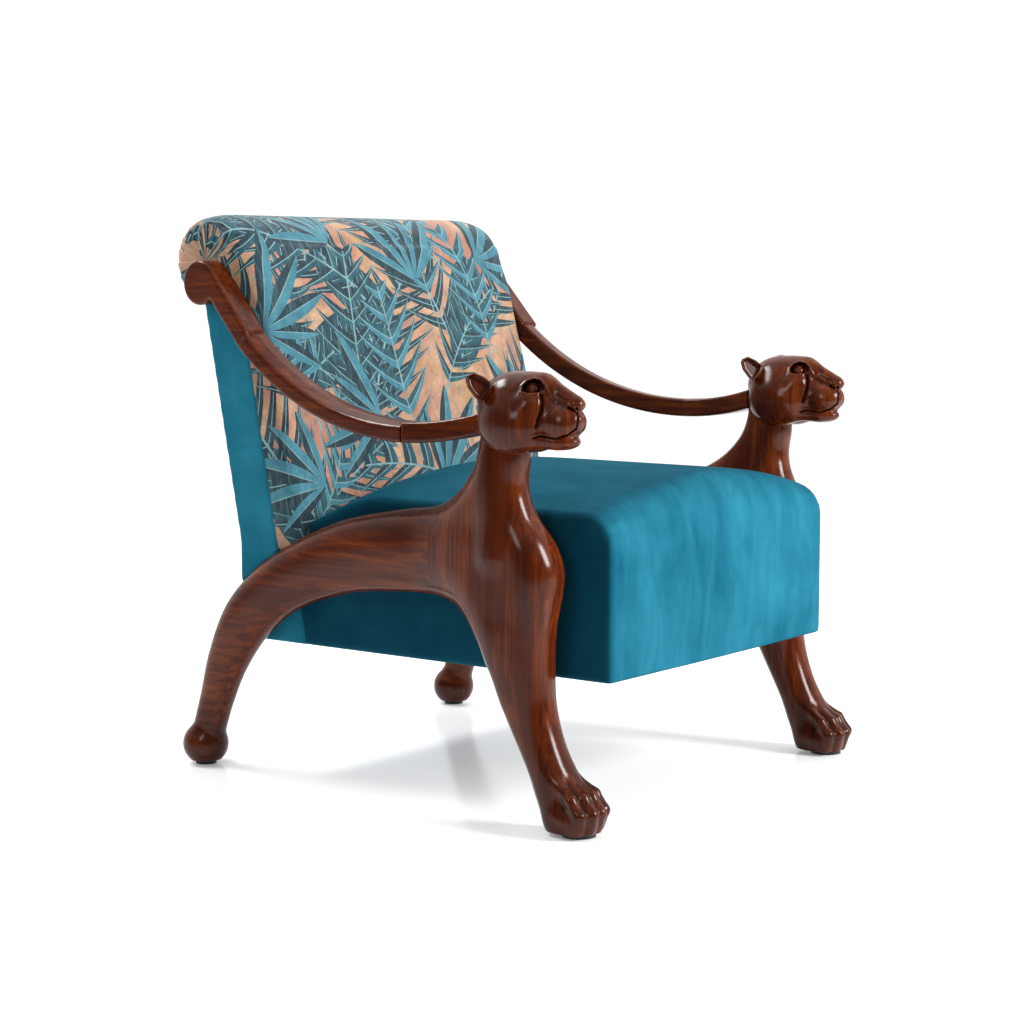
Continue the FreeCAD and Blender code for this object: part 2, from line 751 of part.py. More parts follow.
def back_frame(dowels, screws):
    """Posts, packing wings, rails, roll pole and webbing of the back."""
    pole_foot = (f"-({RAIL_FACE})", "roll_back", "roll_height")
    pole = node(rod("roll_pole", pole_foot, (1, 0, 0), "pole_radius", f"2 * ({RAIL_FACE})"), "roll_pole")
    post_foot = [("post_front", "rail_top"), ("post_front", "rail_bottom"), (REAR_FACE, "rail_bottom")]
    post = back_board("back_post", post_foot, RAIL_INNER, "rail_thick")
    post = cut("back_post", post, [pole, *dowels["lumbar"], *dowels["rear"], *dowels["lower"], *screws])
    both_sides("back_post", post)
    wing_foot = [(raked("post_front", "wing_front_foot"), "wing_front_foot"), (REAR_FACE, "wing_rear_foot")]
    wing = back_board("back_wing", wing_foot, RAIL_FACE, f"({BACK_FACE}) - ({RAIL_FACE})")
    wing = cut("back_wing", wing, screws)
    both_sides("back_wing", wing)
    back_rails(dowels)
    straps = []
    for index in range(STRAPS):
        level = f"back_strap_first + {index} * back_strap_pitch"
        label = f"back_strap_{index}"
        straps.append(raked_slab(label, RAIL_FACE, level, "strap_wide", "-strap_thick", "strap_thick"))
    node(group("back_straps", straps), "back_straps")
    both_sides("back_foot_cover", board("back_foot_cover", [
        ("seat_rear", "seat_bottom"), (f"{REAR_FACE} + cover_thick", "seat_bottom"),
        (f"{REAR_FACE} + cover_thick", "wing_rear_foot - cover_thick"),
        ("seat_rear", "wing_front_foot - cover_thick")], "cover_thick", RAIL_FACE))
    return post, wing, pole


def back_rails(dowels):
    """The rail at the foot of the back and the leaning one behind the sitter's waist."""
    span = (f"-({RAIL_INNER})", RAIL_INNER)
    deep = ("post_front", "post_front + rail_thick")
    lower_rail = box("lower_rail_blank", span, deep, ("rail_bottom", "rail_top"))
    foot = "lumbar_height - lumbar_tall / 2"
    lumbar_rail = raked_slab("lumbar_rail_blank", RAIL_INNER, foot, "lumbar_tall", "0", "rail_thick")
    for label, blank, set_name in (
            ("back_lower_rail", lower_rail, "lower"), ("lumbar_rail", lumbar_rail, "lumbar")):
        twins = [mirror(f"{dowel.Label}_hole", dowel) for dowel in dowels[set_name]]
        node(cut(label, blank, dowels[set_name] + twins), label)


def raked_slab(label, half_width, level, tall, set_back, thick):
    """A slab across the back that leans with the posts' front faces."""
    upper = f"{level} + {tall}"
    near = f"post_front + {set_back}"
    corners = [
        (raked(near, level), level), (f"{raked(near, level)} + {thick}", level),
        (f"{raked(near, upper)} + {thick}", upper), (raked(near, upper), upper)]
    return board(label, corners, f"2 * ({half_width})", f"-({half_width})")


# Upholstery
def at(x, y, z):
    return Vector(x, y, z)


def seat_outline(x, top, front, rear, bottom, radius):
    """Side view of the seat at one place across it: flat below, a rounded nose in front."""
    bend = radius * (1 - math.sqrt(0.5))
    lower_rear, upper_rear = at(x, rear, bottom), at(x, rear, top)
    nose_top, nose_front = at(x, front + radius, top), at(x, front, top - radius)
    nose = Part.Arc(nose_top, at(x, front + bend, top - bend), nose_front).toShape()
    corner = at(x, front, bottom)
    return Part.Wire([
        Part.makeLine(lower_rear, upper_rear), Part.makeLine(upper_rear, nose_top), nose,
        Part.makeLine(nose_front, corner), Part.makeLine(corner, lower_rear)])


def seat_form(inset, rear, bottom):
    """The crowned seat, lofted across from seam to seam."""
    half = value(RAIL_FACE)
    top = value("seat_seam_height") - inset
    front = value("seat_front") + inset
    radius = value("seat_nose_radius") - inset
    crown, swell = value("seat_crown"), value("seat_front_swell")
    sections = [
        seat_outline(-half, top, front, rear, bottom, radius),
        seat_outline(0, top + crown, front - swell, rear, bottom, radius),
        seat_outline(half, top, front, rear, bottom, radius)]
    return Part.makeLoft(sections, True)


def seat_upholstery(bolts):
    """Foam, the cover that runs over the top and down the front, its sides and the dust cover."""
    thick = value("cover_thick")
    rear, bottom = value("seat_rear"), value("seat_bottom")
    foam_floor = value("rail_top + 2 * strap_thick")
    node(soft("seat_foam", seat_form(thick, rear, foam_floor)), "seat_foam")
    shell = seat_form(0, rear, bottom).cut(seat_form(thick, rear + thick, bottom - thick))
    node(soft("seat_cover", shell), "seat_cover")
    seam, front, nose = value("seat_seam_height"), value("seat_front"), value("seat_nose_radius")
    outline = seat_outline(value(RAIL_FACE), seam, front, rear, bottom, nose)
    side = soft("seat_side_panel", Part.Face(outline).extrude(Vector(thick, 0, 0)))
    both_sides("seat_side_cover", cut("seat_side_cover", side, bolts))
    span = (f"-({RAIL_FACE})", RAIL_FACE)
    cloth = ("seat_bottom", "seat_bottom + cover_thick / 2")
    node(box("dust_cover", span, ("seat_front + cover_thick", REAR_FACE), cloth), "dust_cover")


def roll_point(x, radius, degrees):
    """A point on the roll, measured from the front over the top to the rear."""
    angle = math.radians(degrees)
    back = value("roll_back") - radius * math.cos(angle)
    return at(x, back, value("roll_height") + radius * math.sin(angle))


def pad_curve(x, radius, inset, turn):
    """Front of the back at one place across it: the swell from the seat up to the roll."""
    foot = at(x, value("back_pad_foot") + inset, value("back_pad_bottom"))
    to_roll = at(x, value("roll_back"), value("roll_height")) - foot
    level = math.degrees(math.atan2(to_roll.y, to_roll.z) - math.asin(radius / to_roll.Length))
    touch_angle = level + turn
    touch = roll_point(x, radius, touch_angle)
    chord = touch - foot
    lean = math.degrees(math.atan2(chord.y, chord.z))
    sagitta = chord.Length / 2 * math.tan(math.radians((touch_angle - lean) / 2))
    outward = at(0, -chord.z, chord.y).normalize()
    middle = (foot + touch) * 0.5 + outward * sagitta
    return foot, touch, touch_angle, Part.Arc(foot, middle, touch).toShape()


ROLL_ARCS = 3


def roll_arcs(x, radius, start, end):
    """The roll's outline in three arcs, each under a half circle."""
    halves = 2 * ROLL_ARCS
    stops = [start + (end - start) * part / halves for part in range(halves + 1)]
    points = [roll_point(x, radius, stop) for stop in stops]
    return [Part.Arc(*points[part:part + 3]).toShape() for part in range(0, halves, 2)]


# Where the front cover ends under the roll, in degrees, and sections across the back: side,
# whether the roll is at its full size there, and the share of the pad's swell
ROLL_END = 268
BACK_SECTIONS = ((-1, 0, 0.03), (-1, 1, 0.53), (0, 1, 1), (1, 1, 0.53), (1, 0, 0.03))


def back_stations():
    """Places across the back with the roll's radius and the pad's swell there."""
    half = value(BACK_FACE)
    for side, full, share in BACK_SECTIONS:
        x = side * (half - full * value("roll_taper"))
        radius = value("roll_radius") if full else value("roll_end_radius")
        yield x, radius, share * value("back_pad_turn")


def cover_outline(x, radius, turn):
    """Side view of the front cover: up the swell, over the roll and down under it."""
    thick = value("cover_thick")
    foot, _, start, front = pad_curve(x, radius, 0, turn)
    inner_foot, _, inner_start, inner_front = pad_curve(x, radius - thick, thick, turn)
    outer = roll_arcs(x, radius, start, ROLL_END)
    inner = roll_arcs(x, radius - thick, ROLL_END, inner_start)
    tail = Part.makeLine(roll_point(x, radius, ROLL_END), roll_point(x, radius - thick, ROLL_END))
    return Part.Wire([front, *outer, tail, *inner, inner_front, Part.makeLine(inner_foot, foot)])


def foam_outline(x, radius, turn):
    """Side view of the front pad, between the cover and the webbing."""
    thick = value("cover_thick")
    foot, touch, _, front = pad_curve(x, radius - thick - value("back_pad_slack"), thick, turn)
    top = at(x, value(raked("post_front", "post_top")) - thick, value("post_top"))
    low = at(x, value(raked("post_front", "back_pad_bottom")) - thick, value("back_pad_bottom"))
    return Part.Wire([front, Part.makeLine(touch, top), Part.makeLine(top, low), Part.makeLine(low, foot)])


def roll_form():
    """The stuffed roll, drawn in at both ends."""
    thick = value("cover_thick")
    half, taper = value(BACK_FACE), value("roll_taper")
    centre = at(0, value("roll_back"), value("roll_height"))
    axis = Vector(1, 0, 0)
    spans = ((-half, value("roll_end_radius")), (taper - half, value("roll_radius")),
             (half - taper, value("roll_radius")), (half, value("roll_end_radius")))
    rings = [Part.Wire(Part.makeCircle(radius - thick, centre + axis * x, axis)) for x, radius in spans]
    return Part.makeLoft(rings, True, True)


def back_upholstery(post, wing, pole, screws):
    """Pads and covers of the back: leaf fabric in front and over the roll, plain fabric elsewhere."""
    doc.recompute()
    stations = list(back_stations())
    roll = roll_form()
    wood = [piece.Shape for piece in (post, wing, *screws)]
    wood += [shape.mirror(Vector(), Vector(1, 0, 0)) for shape in wood]
    node(soft("roll_foam", roll.cut([pole.Shape] + wood)), "roll_foam")
    pad_shape = Part.makeLoft([foam_outline(*place) for place in stations], True)
    node(soft("back_foam", pad_shape.cut([roll] + wood)), "back_foam")
    cover = Part.makeLoft([cover_outline(*place) for place in stations], True)
    node(soft("back_cover", cover.cut([roll])), "back_cover")
    centre = (BACK_FACE, "roll_back", "roll_height")
    end = rod("roll_end_disc", centre, (1, 0, 0), "roll_end_radius", "cover_thick")
    both_sides("roll_end_cover", cut("roll_end_cover", end, screws))
    turn = "panel_turn * 1 deg"
    rear = f"{REAR_FACE} + cover_thick"
    roll_foot = "roll_height - roll_end_radius"
    outline = [
        ("back_pad_foot", "wing_front_foot"), (rear, "wing_rear_foot"), (rear, "rail_top"),
        (raked(rear, roll_foot), roll_foot),
        ("roll_back", "roll_height"),
        (f"roll_back - roll_end_radius * cos({turn})", f"roll_height + roll_end_radius * sin({turn})")]
    panel = board("back_side_panel", outline, "cover_thick", BACK_FACE)
    both_sides("back_side_cover", cut("back_side_cover", panel, [end, *screws]))
    outside_back()


def outside_back():
    """Plain fabric down the rear of the back, narrower where it passes between the haunches."""
    near, far = REAR_FACE, f"{REAR_FACE} + cover_thick"
    top = "roll_height - roll_radius"
    outline = [
        (near, "seat_bottom"), (far, "seat_bottom"), (far, "rail_top"),
        (raked(far, top), top), (raked(near, top), top), (near, "rail_top")]
    panel = board("outside_back_sheet", outline, f"2 * ({BACK_FACE})", f"-({BACK_FACE})")
    notch = box("haunch_notch", (RAIL_FACE, REACH), LENGTHWAYS, (0, "wing_rear_foot"))
    notches = [notch, mirror("haunch_notch_twin", notch)]
    node(cut("outside_back_cover", panel, notches), "outside_back_cover")


def export():
    """Check every object and write each sub-part to its own file."""
    doc.recompute()
    for item in doc.Objects:
        if "Invalid" in item.State or "Error" in item.State:
            raise RuntimeError(f"{item.Label} failed: {item.State}")
    os.makedirs("parts", exist_ok=True)
    for piece in NODES:
        shape = piece.Shape
        if shape.isNull() or not shape.isValid() or not shape.Solids:
            raise RuntimeError(f"{piece.Label} has no valid solid")
    for piece in NODES:
        piece.Shape.exportStep(f"parts/{piece.Label}.step")
    print(f"{len(NODES)} sub-parts")


tail_tools = arm_fixings()
back_screws = arm_screws()
panther_head, rail_bolts = carved_sides(tail_tools)
armrests(panther_head, tail_tools, back_screws)
seat_dowels = frame_dowels()
mirrored_group("frame_dowels", sum(seat_dowels.values(), []))
mirrored_group("arm_screws", back_screws)
seat_frame(rail_bolts, seat_dowels)
back_parts = back_frame(seat_dowels, back_screws)
seat_upholstery(rail_bolts)
back_upholstery(*back_parts, back_screws)
export()
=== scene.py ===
import json
import math
import random

import bmesh
import bpy
import numpy as np
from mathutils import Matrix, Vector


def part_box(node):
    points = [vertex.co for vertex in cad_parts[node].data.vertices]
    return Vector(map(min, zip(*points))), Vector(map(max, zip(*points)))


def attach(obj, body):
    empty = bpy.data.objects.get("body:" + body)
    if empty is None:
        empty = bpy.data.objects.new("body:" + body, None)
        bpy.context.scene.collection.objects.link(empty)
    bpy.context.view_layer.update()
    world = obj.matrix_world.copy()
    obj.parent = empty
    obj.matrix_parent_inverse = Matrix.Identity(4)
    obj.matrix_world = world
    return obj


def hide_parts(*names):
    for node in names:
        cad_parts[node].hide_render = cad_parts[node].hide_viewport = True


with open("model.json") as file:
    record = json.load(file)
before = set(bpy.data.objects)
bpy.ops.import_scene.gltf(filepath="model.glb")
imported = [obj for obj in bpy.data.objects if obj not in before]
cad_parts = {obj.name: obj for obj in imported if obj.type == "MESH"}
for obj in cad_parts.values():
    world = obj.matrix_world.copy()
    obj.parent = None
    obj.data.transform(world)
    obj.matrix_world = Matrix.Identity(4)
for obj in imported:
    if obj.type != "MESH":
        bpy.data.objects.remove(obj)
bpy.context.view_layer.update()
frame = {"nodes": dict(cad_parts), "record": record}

import openvdb
from bpy.props import FloatProperty, FloatVectorProperty, IntProperty, PointerProperty
from mathutils import Vector

bl_info = {
    "name": "Panther armchair",
    "version": (1, 0, 0),
    "blender": (4, 5, 0),
    "location": "3D View > Sidebar > Armchair",
    "description": "Carves and upholsters an armchair with panther sides around its CAD frame",
    "category": "Object",
}

MM = 0.001
SIDES = {"left": 1, "right": -1}


def shade(red, green, blue):
    """A colour written as 0 to 255, as the linear values that Blender's sockets take."""
    parts = [part / 255 for part in (red, green, blue)]
    return tuple(part / 12.92 if part <= 0.04045 else ((part + 0.055) / 1.055) ** 2.4 for part in parts)


def colour_setting(name, description, *tone):
    """A colour setting, its tone written as 0 to 255."""
    return FloatVectorProperty(name=name, description=description, subtype="COLOR", default=shade(*tone))


def grid_setting(name, pieces, step):
    """The setting of a carving grid, in millimetres."""
    return FloatProperty(name=name, description=f"Grid that {pieces} made on, in millimetres", default=step)


# Settings
class CarvingSettings(bpy.types.PropertyGroup):
    """How finely the panthers are carved, and the colours of their varnished wood."""
    head_grid: grid_setting("Head grid", "a head is", 0.96)
    limb_grid: grid_setting("Limb grid", "legs, paws and flanks are", 2.0)
    arm_grid: grid_setting("Arm grid", "the armrests are", 1.6)
    dark_wood: colour_setting("Dark wood", "Stain between the stripes of the figure", 40, 10, 4)
    warm_wood: colour_setting("Warm wood", "Main colour of the mahogany", 84, 29, 6)
    amber_wood: colour_setting("Amber wood", "Stripes where the varnish glows", 136, 64, 16)


class UpholsterySettings(bpy.types.PropertyGroup):
    """How the pads are made, and the colours of the velvet."""
    pad_grid: grid_setting("Pad grid", "the pads are", 5.0)
    pressure: FloatProperty(
        name="Pressure", description="Pressure that fills the pads in the cloth simulation", default=4.0)
    swell_limit: FloatProperty(
        name="Swell limit", description="Furthest that filling may move a point of a pad", default=0.024,
        unit="LENGTH")
    frames: IntProperty(name="Frames", description="Steps of the cloth simulation", default=20)
    deep_velvet: colour_setting("Deep velvet", "Velvet where the pile leans away", 6, 78, 100)
    pale_velvet: colour_setting("Pale velvet", "Velvet where the pile leans to the light", 46, 128, 150)


class LeafSettings(bpy.types.PropertyGroup):
    """Colours and layout of the leaf fabric."""
    seed: IntProperty(name="Seed", description="Layout of the leaves", default=7)
    peach: colour_setting("Peach", "Main colour of the ground", 204, 170, 134)
    coral: colour_setting("Coral", "Clouds and grains in the ground", 168, 100, 92)
    ochre: colour_setting("Ochre", "Warm clouds in the ground", 188, 148, 90)
    turquoise: colour_setting("Turquoise", "Leaves in the light", 58, 126, 144)
    teal: colour_setting("Teal", "Leaves in half shade", 18, 80, 94)
    ink: colour_setting("Ink", "Leaves in the dark and outlines", 4, 46, 60)
    vein: colour_setting("Vein", "Ribs of the leaves", 120, 160, 164)


class StageSettings(bpy.types.PropertyGroup):
    """Camera and floor."""
    eye: FloatVectorProperty(
        name="Camera place", description="Where the camera stands", subtype="XYZ", unit="LENGTH",
        default=(-2.6334, -1.9822, 0.7133))
    azimuth: FloatProperty(
        name="Azimuth", description="Direction from the chair to the camera", default=math.radians(-52.935),
        unit="ROTATION")
    elevation: FloatProperty(
        name="Elevation", description="How far the camera looks down", default=math.radians(6.055),
        unit="ROTATION")
    lens: FloatProperty(name="Lens", description="Focal length in millimetres", default=80.5)
    floor_colour: FloatVectorProperty(
        name="Floor", description="Colour of the floor", subtype="COLOR", default=(0.94, 0.94, 0.94))


# Shader maths
class Wire:
    """A socket of a node, whose arithmetic adds Math nodes."""

    def __init__(self, nodes, socket):
        self.nodes = nodes
        self.socket = socket

    def math(self, operation, *others):
        inputs = dict(enumerate((self, *others)))
        return self.nodes.node("ShaderNodeMath", {"operation": operation}, inputs)

    def reflected(self, operation, other):
        return self.nodes.node("ShaderNodeMath", {"operation": operation}, {0: other, 1: self})

    def __add__(self, other):
        return self.math("ADD", other)

    def __sub__(self, other):
        return self.math("SUBTRACT", other)

    def __mul__(self, other):
        return self.math("MULTIPLY", other)

    def __truediv__(self, other):
        return self.math("DIVIDE", other)

    def __pow__(self, other):
        return self.math("POWER", other)

    def __lt__(self, other):
        return self.math("LESS_THAN", other)

    def __gt__(self, other):
        return self.math("GREATER_THAN", other)

    def __abs__(self):
        return self.math("ABSOLUTE")

    def __rsub__(self, other):
        return self.reflected("SUBTRACT", other)

    def __rtruediv__(self, other):
        return self.reflected("DIVIDE", other)

    __radd__ = __add__
    __rmul__ = __mul__


class Nodes:
    """The nodes of a tree, which all come from one method."""

    def __init__(self, tree):
        self.tree = tree

    def node(self, kind, settings=None, inputs=None, output=0):
        made = self.tree.nodes.new(kind)
        for name, value in (settings or {}).items():
            if name == "stops":
                self.set_stops(made.color_ramp, value)
            else:
                setattr(made, name, value)
        for key, value in (inputs or {}).items():
            if isinstance(value, Wire):
                self.tree.links.new(value.socket, made.inputs[key])
            else:
                made.inputs[key].default_value = value
        return None if output is None else Wire(self, made.outputs[output])

    def set_stops(self, ramp, stops):
        while len(ramp.elements) < len(stops):
            ramp.elements.new(1.0)
        for element, (place, grey) in zip(ramp.elements, stops):
            element.position = place
            element.color = (grey, grey, grey, 1)

    def parts(self, vector):
        """The three parts of a vector."""
        first = self.node("ShaderNodeSeparateXYZ", None, {0: vector})
        return [Wire(self, socket) for socket in first.socket.node.outputs]


class Finish(Nodes):
    """The nodes of a material or a world."""

    def __init__(self, owner):
        self.owner = owner
        owner.use_nodes = True
        super().__init__(owner.node_tree)
        self.tree.nodes.clear()

    def mix(self, factor, first, second):
        """One colour laid over another."""
        inputs = {0: factor, 6: opaque(first), 7: opaque(second)}
        return self.node("ShaderNodeMix", {"data_type": "RGBA"}, inputs, 2)

    def noise(self, vector, scale, detail=3.0, roughness=0.5, distortion=0.0):
        inputs = {"Vector": vector, "Scale": scale, "Detail": detail, "Roughness": roughness,
                  "Distortion": distortion}
        return self.node("ShaderNodeTexNoise", None, inputs)

    def ramp(self, factor, *stops):
        return self.node("ShaderNodeValToRGB", {"stops": stops}, {0: factor})

    def object_place(self):
        return self.node("ShaderNodeTexCoord", output="Object")

    def stretched(self, vector, scale):
        return self.node("ShaderNodeMapping", None, {"Vector": vector, "Scale": scale})

    def along(self, vector, way):
        """How far a vector reaches along a direction."""
        return self.node("ShaderNodeVectorMath", {"operation": "DOT_PRODUCT"}, {0: vector, 1: way}, "Value")

    def attribute(self, name, output="Fac"):
        return self.node("ShaderNodeAttribute", {"attribute_name": name}, None, output)

    def bump(self, height, strength, distance):
        inputs = {"Height": height, "Strength": strength, "Distance": distance}
        return self.node("ShaderNodeBump", None, inputs)

    def surface(self, **sockets):
        """A principled shader with these sockets, as the material's surface."""
        inputs = {name.replace("_", " "): value for name, value in sockets.items()}
        shader = self.node("ShaderNodeBsdfPrincipled", None, inputs)
        self.node("ShaderNodeOutputMaterial", None, {"Surface": shader}, None)
        return self.owner


def opaque(colour):
    return colour if isinstance(colour, Wire) else (*colour[:3], 1)


def new_finish(name):
    return Finish(bpy.data.materials.new(name))


# Finishes
# Painted shade laid into the wood's grooves and hollows
GROOVE_SHADE = shade(16, 6, 5)
# Painted shade laid on the velvet's sides and top
VELVET_PAINTED_SHADE = shade(0, 32, 48)
SEAM_SHADOW = shade(2, 30, 44)
SEAM_HALF_WIDE = 0.0009
GRAIN_ACROSS, GRAIN_ALONG = 120.0, 4.0


def mahogany(name, along):
    """Glossy varnished mahogany, its grain along one axis of the chair, with painted shade in its grooves
    and hollows and towards the floor.
    """
    settings = bpy.context.scene.panther_carving
    finish = new_finish(name)
    place = finish.object_place()
    grain = [GRAIN_ALONG if axis == along else GRAIN_ACROSS for axis in "XYZ"]
    fibres = finish.stretched(place, grain)
    figure = finish.ramp(finish.noise(fibres, 0.14, 3.0, 0.55, 0.3), (0.32, 0.0), (0.7, 1.0))
    stripes = finish.ramp(finish.noise(fibres, 1.0, 4.0, 0.65, 0.2), (0.4, 0.0), (0.72, 1.0))
    pores = finish.ramp(finish.noise(fibres, 6.0, 2.0, 0.5), (0.55, 0.0), (0.72, 1.0))
    wood = finish.mix(figure * 0.4 + stripes * 0.3 + 0.25, settings.dark_wood, settings.warm_wood)
    wood = finish.mix(stripes * figure * 0.75, wood, settings.amber_wood)
    wood = finish.mix(pores * 0.35, wood, settings.dark_wood)
    # Painted shade: the wood darkened towards the floor, strongest at the soles
    foot = finish.ramp(finish.parts(place)[2], (0.02, 1.0), (0.13, 0.0))
    wood = finish.mix(foot * 0.5, wood, settings.dark_wood)
    # Painted shade: darker brown laid into grooves and hollows, by how deep each point lies in a hollow
    groove = finish.ramp(finish.attribute("recess"), (0.2, 0.0), (0.75, 1.0))
    wood = finish.mix(groove * 0.7, wood, GROOVE_SHADE)
    ripple = finish.noise(place, 38.0, 2.0, 0.5)
    return finish.surface(
        Base_Color=wood, Roughness=0.42 + figure * 0.08, Coat_Weight=0.85, Coat_Roughness=0.18,
        Coat_IOR=1.33, Specular_IOR_Level=0.0, Normal=finish.bump(ripple, 0.08, 0.002))


def velvet(name, seam=0.0, lean=0.0):
    """Short pile velvet brushed both ways, with painted shade on its sides and top where a lean weight is
    given.
    """
    settings = bpy.context.scene.panther_upholstery
    finish = new_finish(name)
    place = finish.object_place()
    broad = finish.ramp(finish.noise(place, 7.0, 3.0, 0.55, 0.6), (0.3, 0.0), (0.7, 1.0))
    strokes = finish.noise(finish.stretched(place, (26, 8, 8)), 1.0, 5.0, 0.62, 0.6)
    strokes = finish.ramp(strokes, (0.34, 0.0), (0.68, 1.0))
    fibre = finish.noise(place, 900.0, 1.0, 0.5)
    colour = finish.mix(strokes * 0.4 + broad * 0.4 + 0.1, settings.deep_velvet, settings.pale_velvet)
    colour = finish.mix(fibre * 0.2, colour, settings.deep_velvet)
    if lean:
        # Painted shade: deeper teal laid on faces that point sideways or up, weighted by lean
        colour = finish.mix(finish.attribute("lean") * lean, colour, VELVET_PAINTED_SHADE)
    if seam:
        line = abs(abs(finish.parts(place)[0]) - seam) < SEAM_HALF_WIDE
        colour = finish.mix(line * 0.25, colour, SEAM_SHADOW)
    return finish.surface(
        Base_Color=colour, Roughness=0.9, Specular_IOR_Level=0.04, Sheen_Weight=0.2, Sheen_Roughness=0.4,
        Sheen_Tint=opaque(settings.pale_velvet), Normal=finish.bump(fibre, 0.25, 0.0006))


class LeafFabric:
    """Jacquard of ferns, lance leaves and broad leaves, drawn on the cloth's own coordinates."""

    def __init__(self, name):
        self.tones = bpy.context.scene.panther_leaves
        self.finish = new_finish(name)
        self.cloth = self.finish.attribute("cloth", "Vector")
        self.colour = self.ground()

    def ground(self):
        finish, tones = self.finish, self.tones
        cloud = finish.ramp(finish.noise(self.cloth, 8.0, 3.0, 0.6, 0.8), (0.4, 0.0), (0.62, 1.0))
        warm = finish.ramp(finish.noise(self.cloth, 13.0, 3.0, 0.6, 0.5), (0.45, 0.0), (0.65, 1.0))
        grains = finish.ramp(finish.noise(self.cloth, 260.0, 3.0, 0.7), (0.42, 0.0), (0.6, 1.0))
        colour = finish.mix(warm, tones.peach, tones.ochre)
        colour = finish.mix(cloud * 0.65, colour, tones.coral)
        return finish.mix(grains * 0.4, colour, tones.coral)

    def local(self, spot, turn, length):
        """Coordinates along and across a leaf that starts at a spot, in lengths of the leaf."""
        inputs = {"Vector": self.waiting(), "Location": (*spot, 0), "Rotation": (0, 0, turn),
                  "Scale": (length, length, 1)}
        moved = self.finish.node("ShaderNodeMapping", {"vector_type": "TEXTURE"}, inputs)
        return self.finish.parts(moved)[:2]

    def waiting(self):
        """The cloth's coordinates, tied to the colour below so that Cycles draws one leaf at a time."""
        inputs = {0: self.colour, 1: (1e-9, 1e-9, 1e-9), 2: self.cloth}
        return self.finish.node("ShaderNodeVectorMath", {"operation": "MULTIPLY_ADD"}, inputs)

    def lay(self, mask, colour):
        self.colour = self.finish.mix(mask, self.colour, colour)

    def fern(self, spot, turn, length, spread, leaflets, bend, light, dark):
        along, across = self.local(spot, turn, length)
        aside = abs(across - along * along * bend)
        root = along - aside * 0.55 - aside * aside * 0.9
        cell = (root * leaflets).math("FRACT") - 0.5
        reach = (1.06 - root) * (root + 0.3) * (spread * 1.6)
        tip = aside / reach
        half = (1 - tip * tip) * 0.33
        inside = (abs(cell) < half) * (root > 0) * (root < 1)
        leaf = self.finish.mix(cell > 0, light, dark)
        leaf = self.finish.mix(abs(cell) < 0.03, leaf, self.tones.vein)
        self.lay(inside, leaf)
        stem = (aside < 0.006) * (along > -0.12) * (along < 0.97)
        self.lay(stem, self.tones.vein)

    def lance(self, spot, turn, length, width, light, dark):
        along, across = self.local(spot, turn, length)
        swell = (along * (1 - along)).math("MAXIMUM", 0.0)
        half = swell ** 0.75 * (width * 2.8)
        inside = (abs(across) < half) * (along > 0) * (along < 1)
        leaf = self.finish.mix(across > 0, light, dark)
        leaf = self.finish.mix(abs(across) < half * 0.06, leaf, self.tones.vein)
        self.lay(inside, leaf)

    def broad(self, spot, turn, length, width, veins, light, dark):
        along, across = self.local(spot, turn, length)
        aside = abs(across)
        swell = (along * (1.02 - along)).math("MAXIMUM", 0.0)
        half = swell ** 0.6 * (width * 2.3)
        inside = (aside < half) * (along > 0) * (along < 1)
        rib = ((along - aside * 0.8) * veins).math("FRACT")
        leaf = self.finish.mix(rib, dark, light)
        leaf = self.finish.mix(rib < 0.07, leaf, self.tones.vein)
        leaf = self.finish.mix(aside < 0.008, leaf, self.tones.vein)
        leaf = self.finish.mix(aside > half * 0.93, leaf, self.tones.ink)
        self.lay(inside, leaf)

    def surface(self):
        """The drawn cloth with the grain of its threads and blotches of painted shade."""
        finish = self.finish
        threads = finish.noise(finish.stretched(self.cloth, (900, 260, 1)), 1.0, 2.0, 0.6)
        raised = finish.ramp(threads, (0.35, 0.0), (0.75, 1.0))
        colour = finish.mix(raised * 0.07, self.colour, self.tones.peach)
        slubs = finish.noise(self.cloth, 420.0, 2.0, 0.6)
        colour = finish.mix(finish.ramp(slubs, (0.5, 0.0), (0.75, 1.0)) * 0.3, colour, self.tones.ink)
        strokes = finish.noise(finish.stretched(self.cloth, (160, 24, 1)), 1.0, 3.0, 0.6, 0.8)
        colour = finish.mix(finish.ramp(strokes, (0.5, 0.0), (0.7, 1.0)) * 0.3, colour, self.tones.vein)
        # Painted shade: blotches of ink laid over the cloth to darken it in patches
        painted_shade = finish.noise(self.cloth, 34.0, 4.0, 0.65, 0.6)
        colour = finish.mix(finish.ramp(painted_shade, (0.42, 0.0), (0.7, 1.0)) * 0.42, colour, self.tones.ink)
        return finish.surface(
            Base_Color=colour, Roughness=0.82, Specular_IOR_Level=0.2, Sheen_Weight=0.15,
            Normal=finish.bump(threads + slubs, 0.35, 0.0008))


